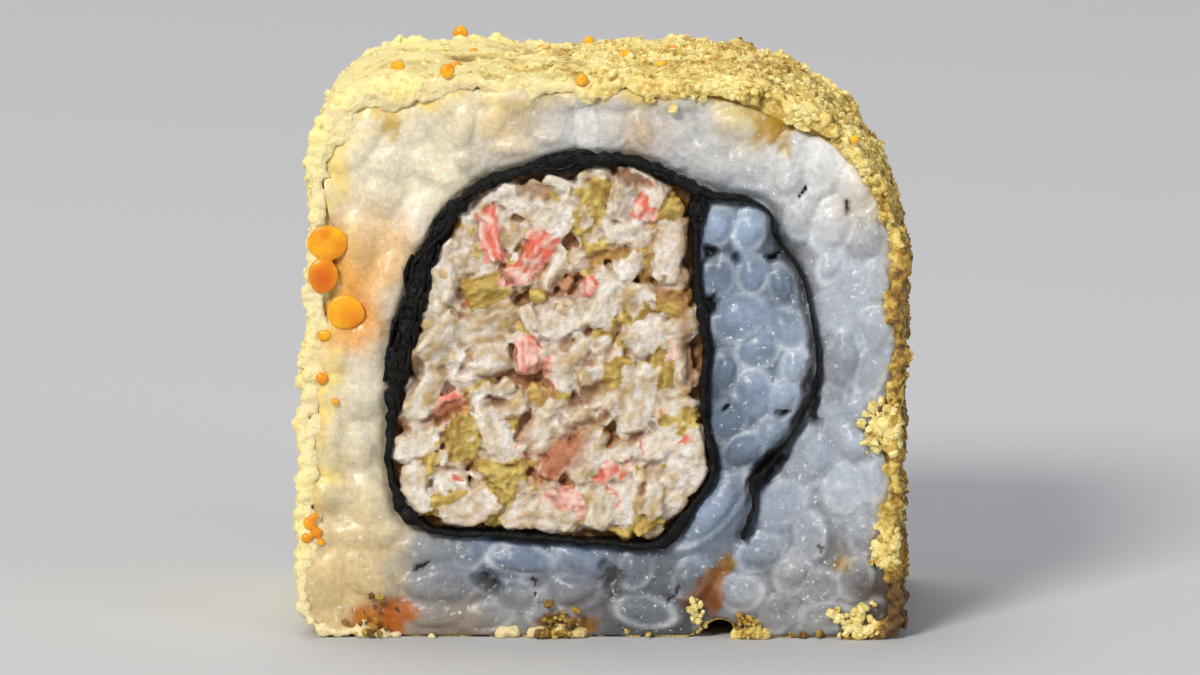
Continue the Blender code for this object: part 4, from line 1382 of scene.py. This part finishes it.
def strand_lines(line):
    """Lines beside the sheet where it is crumpled, with how far the strand on each reaches."""
    for k, shift in enumerate((-0.6, 0.6, -1.0, 0.1, 1.0)):
        crumpled = [p for p in line if bump(p.x, p.y, NORI_CRUMPLES) > 0.38 + 0.1 * k]
        for run in split_runs(crumpled, 1.0):
            if len(run) < 8:
                continue
            bent = []
            for i, p in enumerate(run):
                swell = bump(p.x, p.y, NORI_CRUMPLES)
                wander = 0.55 * noise.noise((0.55 * p.x, 20.0 * k, 0.55 * p.y))
                bent.append(p + across_at(run, i) * (shift * 0.6 * swell + wander))
            yield bent, FACE + 0.1 - 0.1 * k


def make_nori(settings):
    """The spiral sheet, with loose folds where it is crumpled."""
    draw = random.Random(SEEDS["nori"])
    line, halves = sheet_line()
    rings = nori_rings(line, halves, FACE - 0.05, draw, 0.2)
    strands = [draft("strand", skin(rings, closed=False))]
    for bent, reach in strand_lines(line):
        rings = nori_rings(bent, [STRAND_HALF] * len(bent), reach, draw, 0.5)
        strands.append(draft("strand", skin(rings, closed=False)))
    finished(gathered("nori_sheet", strands), nori_material(settings), "nori", "nori")


def split_runs(points, most):
    """Splits a list of points wherever two neighbours are further apart than the most."""
    runs = [[]]
    for p in points:
        if runs[-1] and (p - runs[-1][-1]).length > most:
            runs.append([])
        runs[-1].append(p)
    return runs


def piece_frame(row, side, lift, draw):
    """A filling piece's middle, turn and half sizes, from its place on the cut face."""
    x, z, long_way, width, degrees = row
    thick = 0.7 * width + 0.6
    turn = Matrix.Rotation(-math.radians(degrees), 3, "Y")
    turn = turn @ Matrix.Rotation(draw.uniform(-0.15, 0.15), 3, "Z")
    turn = turn @ Matrix.Rotation(draw.uniform(-0.3, 0.3), 3, "X")
    half = np.array((long_way / 2, thick / 2, width / 2)) * 1.08
    return np.array((x, side * (FACE - thick / 2 - lift), z)), np.array(turn), half


def piece_points(shape, frame_of_piece, draw):
    """One torn, rounded piece of the filling."""
    middle, turn, half = frame_of_piece
    corners = np.array([[draw.uniform(-0.3, 0.3) for _ in range(3)] for _ in range(8)])
    rounded = shape * (1 - 0.2 * ((shape**2).sum(axis=1) - 1) / 2)[:, None]
    for k, corner in enumerate(corners):
        signs = np.array([1 if k >> axis & 1 else -1 for axis in range(3)])
        rounded = rounded + np.prod((1 + signs * shape) / 2, axis=1)[:, None] * corner
    local = rounded * half
    outward = shape / np.linalg.norm(shape, axis=1)[:, None]
    local = local + outward * (0.3 * noise_at(local, 0.9, draw.uniform(0, 900)))[:, None]
    return local @ turn.T + middle


def random_pieces(count, sizes, draw, outline):
    """Places for pieces of the filling, drawn anywhere within its outline."""
    rows = []
    while len(rows) < count:
        x, z = draw.uniform(-14.5, 7.5), draw.uniform(6.5, 32.5)
        if inside(x, z, outline) and nearest(x, z, outline) > 0.9:
            long_way = draw.uniform(*sizes)
            rows.append((x, z, long_way, long_way * draw.uniform(0.45, 0.75), draw.uniform(0, 180)))
    return rows


def make_filling(settings):
    """The chopped filling: torn white, yellow and pink pieces pressed into one mass."""
    # each kind's placed pieces, two tints, mix, number of small bits, lift, and whether it crumbles
    kinds = (
        (WHITE_PIECES, (settings.white, settings.white_shade), (0.05, 0.6), 260, (0.0, 0.5), False),
        (YELLOW_PIECES, (settings.yellow_shade, settings.yellow), (0.3, 0.9), 190, (0.15, 0.6), True),
        (PINK_PIECES, (settings.pink, settings.pink_shade), (0.2, 0.8), 22, (0.0, 0.4), False),
    )
    outline = filling_outline(CORE_STEP)
    material = filling_material()
    draw = random.Random(SEEDS["filling"])
    for side, name in ((-1, "filling_front"), (1, "filling_back")):
        frames, colours = [], []
        for rows, tints, shares, spare, lifts, crumbles in kinds:
            if side > 0:
                rows = random_pieces(len(rows), PIECE_LENGTHS, draw, outline)
            bits = random_pieces(spare, BIT_LENGTHS, draw, outline)
            for k, row in enumerate((*rows, *bits)):
                lift = draw.uniform(*lifts) + (BITS_SUNK if k >= len(rows) else 0.0)
                frames.append(piece_frame(row, side, lift, draw))
                colours.append((*tints, draw.uniform(*shares), crumbles))
        filling_face(name, side, frames, colours, material, draw)
    make_filling_core(material, outline)


def filling_looks(co, frames, colours):
    """For each point the nearest piece's colour, fibres, and whether it crumbles."""
    wander = np.stack([noise_at(co, 0.7, shift) for shift in (3.0, 33.0, 63.0)], axis=1) * 0.3
    best = np.full(len(co), 0.35)
    colour_of = blended(co, FILLING_STAINS_AND_SHADE, FILLING_BASE, FILLING_BASE_WEIGHT)
    strand = np.zeros(len(co))
    crumbly = np.zeros(len(co))
    for (middle, turn, half), (fresh, soaked, share, crumbles) in zip(frames, colours):
        close = close_to(co, middle[0], middle[2], half.max() + 0.8)
        local = (co[close] + wander[close] - middle) @ turn
        gap = np.linalg.norm(np.maximum(np.abs(local) - half * 0.8, 0), axis=1) - 0.2 * half.min()
        closer = gap < best[close]
        chosen = close[closer]
        best[chosen] = gap[closer]
        fibres = noise_at(local[closer] * (0.3, 1.0, 1.0), 0.42, middle[0])
        streak = np.clip(share + 1.1 * fibres, 0, 1)[:, None]
        colour_of[chosen] = np.array(fresh) * (1 - streak) + np.array(soaked) * streak
        strand[chosen] = fibres
        crumbly[chosen] = crumbles
    return colour_of, strand, crumbly


def filling_face(name, side, frames, colours, material, draw):
    """The filling at one cut face, in one skin with the colour of the nearest piece."""
    shape, faces = template(block(5))
    outline = filling_outline(CORE_STEP)
    slab = prism_object("slab", outline, side * -FILLING_SLAB[0], side * -FILLING_SLAB[1])
    pieces = joined("pieces", np.array([piece_points(shape, f, draw) for f in frames]), faces)
    mass = gathered(name, [slab, pieces])
    fused(mass, FILLING_STEP, smoothing=1)
    mesh = mass.data
    hold_within(mesh, outline, -0.1)
    gaps = sink_gaps(mesh, FILLING_GAPS, 0.4 * GAP_DEPTH)
    groove = sink_groove(mesh, *sheet_line())
    co = points_of(mesh)
    colour_of, strand, crumbly = filling_looks(co, frames, colours)
    raised = 0.13 * strand + (0.08 + 0.07 * crumbly) * noise_at(co, 0.36, 7.0)
    put_points(mesh, co + normals_of(mesh) * raised[:, None])
    low = hollows(mesh, 6)
    # sauce and painted shade: the sauce colour takes over deeper below the face, in hollows, beside the
    # sheet, along the strip by its inner line and in the gaps
    sauce = blended(co, FILLING_STAINS_AND_SHADE, FILLING_SAUCE_AND_SHADE, 0.5)
    strip = np.exp(-((np.abs(co[:, 0] - 5.9) / 0.5) ** 2)) * ramp(co[:, 2], 17, 20) * 0.75
    sunk = (11.5 - np.abs(co[:, 1])) / 0.8 + 4.0 * np.clip(low, 0, 0.3) + 0.4 * groove
    sunk = np.clip(np.maximum(np.maximum(sunk, strip), gaps), 0, 0.9)[:, None]
    put_values(mesh, "stain_and_shade", colour_of * (1 - sunk) + sauce * sunk)
    # painted shade: darker in the hollows
    put_values(mesh, "tone", np.clip(-5.0 * low, -0.6, 1))
    finished(mass, material, "filling", "filling")


def make_filling_core(material, outline):
    """The filling between the two faces, which nothing shows."""
    core = prism_object("filling_core", outline, FILLING_SLAB[1], -FILLING_SLAB[1])
    co = points_of(core.data)
    put_values(core.data, "tone", np.zeros(len(co)))
    put_values(core.data, "stain_and_shade", blended(co, FILLING_STAINS_AND_SHADE, FILLING_BASE, FILLING_BASE_WEIGHT))
    finished(core, material, "filling", "filling")


def coat_rings(outline):
    """Rings round the coat: over its outside, round both rims and along its inner wall."""
    depth = COAT_HALF_DEPTH
    steps = round(2 * (depth - 0.4) / 0.6)
    outer = [(0.0, -depth + 0.4 + 2 * (depth - 0.4) * k / steps) for k in range(steps + 1)]
    rim = [(0.1, depth - 0.3), (0.28, depth - 0.45), (0.5, depth - 0.65), (0.72, depth - 0.85)]
    inner = [(1.0, depth - 1.1), (1.0, 0.6 * depth), (1.0, 0.2 * depth)]
    stations = outer + rim + inner
    stations += [(share, -y) for share, y in inner[::-1]]
    stations += [(share, -y) for share, y in rim[::-1]]
    ways = outward_normals(outline)
    rings = []
    for share, y in stations:
        flat = [p - way * share * coat_thickness(p.x, p.y) for p, way in zip(outline, ways)]
        rings.append([(p.x, y, p.y) for p in flat])
    return rings


def fried_tone_and_shade(co):
    """How fried the coat is at each point, with painted light and shade: paler towards the left, and painted
    shade darkens the foot and the right side.
    """
    x, z = co[:, 0], co[:, 2]
    # paler towards the left, partly painted light from the left
    tone = 0.84 - 0.014 * (x + 6)
    # painted shade: darker towards the foot
    tone -= ramp(z, 3.4, 0.4) * (0.35 + 0.35 * noise_at(co, 4.5, 50.0))
    # painted shade down the right side
    right = ramp(x, 18.6, 20.2) * ramp(z, 31, 25)
    right *= 0.8 + 0.5 * noise_at(co, 5.0, 17.0)
    by_face = ramp(np.abs(co[:, 1]), 8, 11)
    return tone - 0.42 * right + bump(x, z, TONE_SPOTS) * by_face


def put_fried_tone_and_shade(mesh, co, contrast):
    """Stores how fried the coat is at each vertex, darker in the pits by a contrast, which is partly oil and
    partly painted shade.
    """
    pits = np.clip(hollows(mesh, 6), -0.15, 0.3)
    put_values(mesh, "tone", fried_tone_and_shade(co) - contrast * pits)


def coat_relief(co):
    """How far the coat's lumps rise above an even skin at each point."""
    return np.maximum(noise_at(co, COAT_RELIEF_PITCH) * COAT_RELIEF, COAT_DEEPEST)


def more_at_right(co):
    """How much of the crumbs a place gets, from 0 at the left to 1: the left is plain batter."""
    return ramp(co[:, 0], -9, 5)


def coat_shell(settings, outline):
    """The coat's uneven ring with its crumbs, before they are fused."""
    shell = draft("coat_shell", skin(coat_rings(outline), closed=True))
    rest = points_of(shell.data)
    away, ways = near_outline(rest, outline)
    outside = np.clip(1 + away / COAT_SKIN, 0, 1)
    co = rest.copy()
    push(co, ways, coat_relief(rest) * outside)
    put_points(shell.data, co)
    rng = np.random.default_rng(SEEDS["coat"])
    rim = ramp(np.abs(rest[:, 1]), 10.9, 11.4)
    chance = np.maximum(outside, rim) * (co[:, 2] > 0.3) * (0.12 + 0.88 * more_at_right(co))
    picked = rng.choice(len(co), settings.crumbs, p=chance / chance.sum())
    sizes = np.clip(settings.crumb_size / MM * rng.lognormal(0.1, 0.45, settings.crumbs), 0.35, 1.5)
    centres = co[picked] - normals_of(shell.data)[picked] * (0.1 + 0.2 * sizes)[:, None]
    shape, faces = template(ball(1))
    stuck = joined("stuck", rough_balls(shape, centres, sizes, rng, 0.2), faces)
    return gathered("coat_shell", [shell, stuck])


def make_coat(settings):
    """The crumb coat: an uneven closed ring with crumbs fused all over it, and loose crumbs."""
    outline = block_outline(OUTLINE_STEP)
    shell = coat_shell(settings, outline)
    fused(shell, COAT_STEP, smoothing=1, adaptivity=COAT_THINNING)
    co = points_of(shell.data)
    grain = noise_at(co, 0.8, 11.0) * 0.1 + noise_at(co, 0.4, 23.0) * 0.06
    co += normals_of(shell.data) * grain[:, None]
    below = np.array([notch_lift(x) for x in co[:, 0]])
    co[:, 2] = np.maximum(co[:, 2], below)
    front = COAT_HALF_DEPTH + 0.4 - FOOT_RECESS * np.clip(1.6 - co[:, 2], 0, 1)
    co[:, 1] = np.clip(co[:, 1], -front, front)
    put_points(shell.data, co)
    away, _ = near_outline(co, outline)
    put_fried_tone_and_shade(shell.data, co, 2.2)
    material = coat_material(settings)
    make_crumbs(settings, material, co, normals_of(shell.data), away > -0.9)
    finished(shell, material, "crumb_coat", "crumb_coat")
    make_batter(material)


def batter_reach(co):
    """How far inwards from the outline batter covers a cut face near each point."""
    lifted = ramp(co[:, 2], 1.5, 3.5)
    left = ramp(co[:, 0], -16, -17)
    reach = (BATTER_REACH + 0.5 * left) * lifted + bump(co[:, 0], co[:, 2], BATTER_BANDS)
    return reach * (1 + noise_at(co, 2.4, 5.0)) + 0.5 * noise_at(co, 0.9, 9.0)


def batter_places(side, rng):
    """Places for lumps of batter, with how far each is from the batter's edge, and on the rim."""
    across, up = np.meshgrid(np.arange(-21, 21.5, BATTER_PITCH), np.arange(0.2, 38.5, BATTER_PITCH))
    flat = np.column_stack([across.ravel(), up.ravel()]) + rng.uniform(-0.2, 0.2, (across.size, 2))
    places = np.column_stack([flat[:, 0], np.full(len(flat), FACE * side), flat[:, 1]])
    away, _ = near_outline(places, block_outline(OUTLINE_STEP))
    reach = batter_reach(places) + rng.uniform(-0.25, 0.25, len(places))
    covered = (away < 0) & (away > -reach)
    return places[covered], (reach + away)[covered], np.clip(1 + away[covered] / 0.6, 0, 1)


def batter_lumps(side, rng):
    """Middles, sizes and smoothness of the batter's lumps on one cut face, and behind its rim."""
    centres, covered, rim = batter_places(side, rng)
    smooth = ramp(centres[:, 0], 4, -8) * (1 - rim)
    sizes = rng.uniform(*BATTER_LUMPS, len(centres))
    risen = 0.56 - 0.4 * np.clip(covered / (0.4 + 1.4 * smooth), 0, 1) * (1 - rim)
    depth = FACE - risen + rng.uniform(-0.1, 0.14, len(centres)) * (1 - smooth)
    centres[:, 1] = (FACE - 0.7) * side
    away, ways = near_outline(centres, block_outline(OUTLINE_STEP))
    rise = coat_relief(centres)
    rise *= np.clip(1 + away / COAT_SKIN, 0, 1)
    push(centres, ways, rise)
    bridge = centres[rim > 0.3] - np.array([0.0, 0.25 * side, 0.0])
    centres[:, 1] = depth * side
    return (
        np.concatenate([centres, bridge]),
        np.concatenate([sizes, rng.uniform(*BRIDGE_LUMPS, len(bridge))]),
        np.concatenate([smooth, np.zeros(len(bridge))]),
    )


def make_batter(material):
    """Batter that has crept from the coat over the rims of both cut faces, in fused lumps."""
    rng = np.random.default_rng(SEEDS["batter"])
    shape, faces = template(ball(2))
    for side, name in ((-1, "coat_batter_front"), (1, "coat_batter_back")):
        centres, sizes, smooth = batter_lumps(side, rng)
        lumps = rough_balls(shape, centres, sizes, rng, 0.15)
        flatter = (0.75 - 0.25 * smooth)[:, None]
        lumps[:, :, 1] = centres[:, None, 1] + (lumps[:, :, 1] - centres[:, None, 1]) * flatter
        batter = joined(name, lumps, faces)
        fused(batter, BATTER_STEP, smoothing=1)
        co = points_of(batter.data)
        rough = 0.1 * noise_at(co, 0.5, 31.0) + 0.12 * noise_at(co, 1.1, 12.0)
        co += normals_of(batter.data) * rough[:, None]
        co[:, 2] = np.maximum(co[:, 2], LOWEST)
        put_points(batter.data, co)
        put_fried_tone_and_shade(batter.data, co, 2.0)
        away, _ = near_outline(co, block_outline(OUTLINE_STEP))
        left = ramp(co[:, 0], 2, -6)
        edge = np.clip(1.1 - (batter_reach(co) + away) / 1.8, 0, 1)
        put_values(batter.data, "thin", 0.8 * left * edge)
        finished(batter, material, "crumb_coat")


def make_crumbs(settings, material, co, normals, outside):
    """Fine crumbs all over the coat, and crumbs spilled over the edges of the cut faces."""
    rng = np.random.default_rng(SEEDS["crumbs"])
    chance = (outside & (co[:, 2] > 0.35)) * (0.3 + 0.7 * more_at_right(co))
    picked = rng.choice(len(co), settings.loose, p=chance / chance.sum())
    sizes = np.clip(FINE_CRUMB * rng.lognormal(0, 0.3, settings.loose), 0.18, 0.7)
    centres = co[picked] - normals[picked] * (0.05 * sizes)[:, None]
    tones = fried_tone_and_shade(centres) + rng.uniform(-0.2, 0.35, settings.loose)
    groups = [(centres, sizes, tones)]
    outline = block_outline(OUTLINE_STEP)
    for x, z, reach, count, tone in CRUMB_SPILLS:
        spread = rng.normal(size=(count, 2)) * reach * 0.6
        spill = np.column_stack([x + spread[:, 0], rng.uniform(-12.0, -11.4, count), z + spread[:, 1]])
        back = spill * (1, -1, 1) + rng.uniform(-0.8, 0.8, (count, 3)) * (1, 0.1, 1)
        for places in (spill, back):
            away, ways = near_outline(places, outline)
            push(places, ways, -np.maximum(away + 0.3, 0))
            places[:, 2] = np.maximum(places[:, 2], 0.35)
            groups.append((places, rng.uniform(*SPILLED_CRUMBS, count), tone + rng.uniform(-0.2, 0.2, count)))
    centres, sizes, tones = (np.concatenate(part) for part in zip(*groups))
    shape, faces = template(ball(1))
    crumbs = joined("coat_crumbs", rough_balls(shape, centres, sizes, rng, 0.3), faces, tones)
    placed = points_of(crumbs.data)
    placed[:, 2] = np.maximum(placed[:, 2], LOWEST)
    put_points(crumbs.data, placed)
    finished(crumbs, material, "crumb_coat")
    shade_flat(crumbs)


def make_roe():
    """Orange roe: low wide beads on the left of both faces, and small ones there and on top."""
    draw = random.Random(SEEDS["roe"])
    bm = bmesh.new()
    beads = []
    for side in (-1, 1):
        y = side * (FACE - 0.1)
        for x, z, wide, tall in BIG_ROE:
            beads.append((Vector((x, y, z)), Vector((1.12 * wide, 0.42, 1.12 * tall))))
        for x, z, size in SMALL_ROE:
            beads.append((Vector((x, y, z)), Vector((size, 0.6 * size, size))))
    for _ in range(ROE_ON_TOP):
        size = draw.uniform(0.7, 1.3)
        place = Vector((draw.uniform(-14, 9), draw.uniform(-10, 10), HEIGHT + 0.05))
        beads.append((place, Vector((size, size, 0.8 * size))))
    for middle, size in beads:
        made = bmesh.ops.create_uvsphere(bm, u_segments=24, v_segments=14, radius=0.5)
        seed = Vector((draw.uniform(0, 50), 0, 0))
        for vert in made["verts"]:
            uneven = 1 + 0.12 * noise.noise(vert.co * 1.6 + seed)
            vert.co = middle + Vector([vert.co[k] * size[k] * uneven for k in range(3)])
    roe = draft("roe_beads", bm)
    fused(roe, ROE_STEP, smoothing=4)
    co = points_of(roe.data)
    put_values(roe.data, "heart", bump(co[:, 0], co[:, 2], ROE_HEARTS))
    finished(roe, roe_material(), "crumb_coat")


def shade_flat(obj):
    """Gives a piece hard facets, as broken crumbs have."""
    flat = np.zeros(len(obj.data.polygons), bool)
    obj.data.polygons.foreach_set("use_smooth", flat)


class URAMAKI_OT_rice(bpy.types.Operator):
    """Build the rice: both cut faces with their grains, and the mass between them"""

    bl_idname = "uramaki.rice"
    bl_label = "Build Rice"

    def execute(self, context):
        make_rice(context.scene.uramaki_rice)
        return {"FINISHED"}


class URAMAKI_OT_nori(bpy.types.Operator):
    """Build the spiral nori sheet with its crumpled folds"""

    bl_idname = "uramaki.nori"
    bl_label = "Build Nori"

    def execute(self, context):
        make_nori(context.scene.uramaki_nori)
        return {"FINISHED"}


class URAMAKI_OT_filling(bpy.types.Operator):
    """Build the chopped filling"""

    bl_idname = "uramaki.filling"
    bl_label = "Build Filling"

    def execute(self, context):
        make_filling(context.scene.uramaki_filling)
        return {"FINISHED"}


class URAMAKI_OT_coat(bpy.types.Operator):
    """Build the crumb coat, with its crumbs and batter"""

    bl_idname = "uramaki.coat"
    bl_label = "Build Coat"

    def execute(self, context):
        make_coat(context.scene.uramaki_coat)
        return {"FINISHED"}


class URAMAKI_OT_roe(bpy.types.Operator):
    """Build the roe on the coat"""

    bl_idname = "uramaki.roe"
    bl_label = "Build Roe"

    def execute(self, context):
        make_roe()
        return {"FINISHED"}


def add_light(name, place, width, watts, tint):
    """One soft area light that looks at the roll."""
    data = bpy.data.lights.new(name, "AREA")
    data.shape = "DISK"
    data.size = width
    data.energy = watts
    data.color = tint
    light = bpy.data.objects.new(name, data)
    light.location = place
    light.rotation_euler = (Vector(LIGHTS_AIM) - Vector(place)).to_track_quat("-Z", "Y").to_euler()
    bpy.context.scene.collection.objects.link(light)


def add_floor(settings):
    """The wide matt floor."""
    bm = bmesh.new()
    bmesh.ops.create_circle(bm, cap_ends=True, segments=96, radius=FLOOR_RADIUS)
    floor = draft("floor", bm)
    floor.data.transform(Matrix.Scale(MM, 4))
    floor.data.materials.append(floor_material(settings))


def add_camera(settings):
    """The camera, with a lens that shows the wanted width at the front cut face."""
    data = bpy.data.cameras.new("camera")
    camera = bpy.data.objects.new("camera", data)
    bpy.context.scene.collection.objects.link(camera)
    aim = Vector((settings.aim_side, -FACE * MM, settings.aim_height))
    turn, rise = settings.azimuth, settings.elevation
    level = math.cos(rise)
    back = Vector((math.sin(turn) * level, -math.cos(turn) * level, math.sin(rise)))
    camera.location = aim + back * settings.distance
    camera.rotation_euler = (-back).to_track_quat("-Z", "Y").to_euler()
    data.sensor_width = SENSOR_WIDTH
    data.lens = SENSOR_WIDTH * settings.distance / settings.view_width
    data.clip_start = 0.01
    data.clip_end = 20.0
    bpy.context.scene.camera = camera


class URAMAKI_OT_stage(bpy.types.Operator):
    """Set up the floor, the lights and the camera"""

    bl_idname = "uramaki.stage"
    bl_label = "Build Stage"

    def execute(self, context):
        scene = context.scene
        scene.view_settings.view_transform = "Standard"
        add_floor(scene.uramaki_stage)
        scene.world = bpy.data.worlds.new("studio")
        scene.world.use_nodes = True
        sky = scene.world.node_tree.nodes["Background"]
        sky.inputs["Color"].default_value = SKY_TINT
        sky.inputs["Strength"].default_value = SKY_STRENGTH
        for light in LIGHTS:
            add_light(*light)
        add_camera(scene.uramaki_stage)
        return {"FINISHED"}


class URAMAKI_PT_panel(bpy.types.Panel):
    """Lists the roll's settings and its building steps"""

    bl_idname = "URAMAKI_PT_panel"
    bl_label = "Uramaki Roll"
    bl_space_type = "VIEW_3D"
    bl_region_type = "UI"
    bl_category = "Uramaki"

    def draw(self, context):
        layout = self.layout
        for name, group in SETTINGS.items():
            box = layout.box()
            box.label(text=group.__doc__)
            for key in group.__annotations__:
                box.prop(getattr(context.scene, name), key)
        for operator in OPERATORS:
            layout.operator(operator.bl_idname)


OPERATORS = (
    URAMAKI_OT_stage,
    URAMAKI_OT_rice,
    URAMAKI_OT_nori,
    URAMAKI_OT_filling,
    URAMAKI_OT_coat,
    URAMAKI_OT_roe,
)


def register():
    for group in (*SETTINGS.values(), *OPERATORS, URAMAKI_PT_panel):
        bpy.utils.register_class(group)
    for name, group in SETTINGS.items():
        setattr(bpy.types.Scene, name, PointerProperty(type=group))


def unregister():
    for name in SETTINGS:
        delattr(bpy.types.Scene, name)
    for group in (URAMAKI_PT_panel, *OPERATORS[::-1], *list(SETTINGS.values())[::-1]):
        bpy.utils.unregister_class(group)


def main():
    """Registers the add-on and builds every piece."""
    register()
    bpy.ops.uramaki.stage()
    bpy.ops.uramaki.rice()
    bpy.ops.uramaki.nori()
    bpy.ops.uramaki.filling()
    bpy.ops.uramaki.coat()
    bpy.ops.uramaki.roe()


if __name__ == "__main__":
    main()
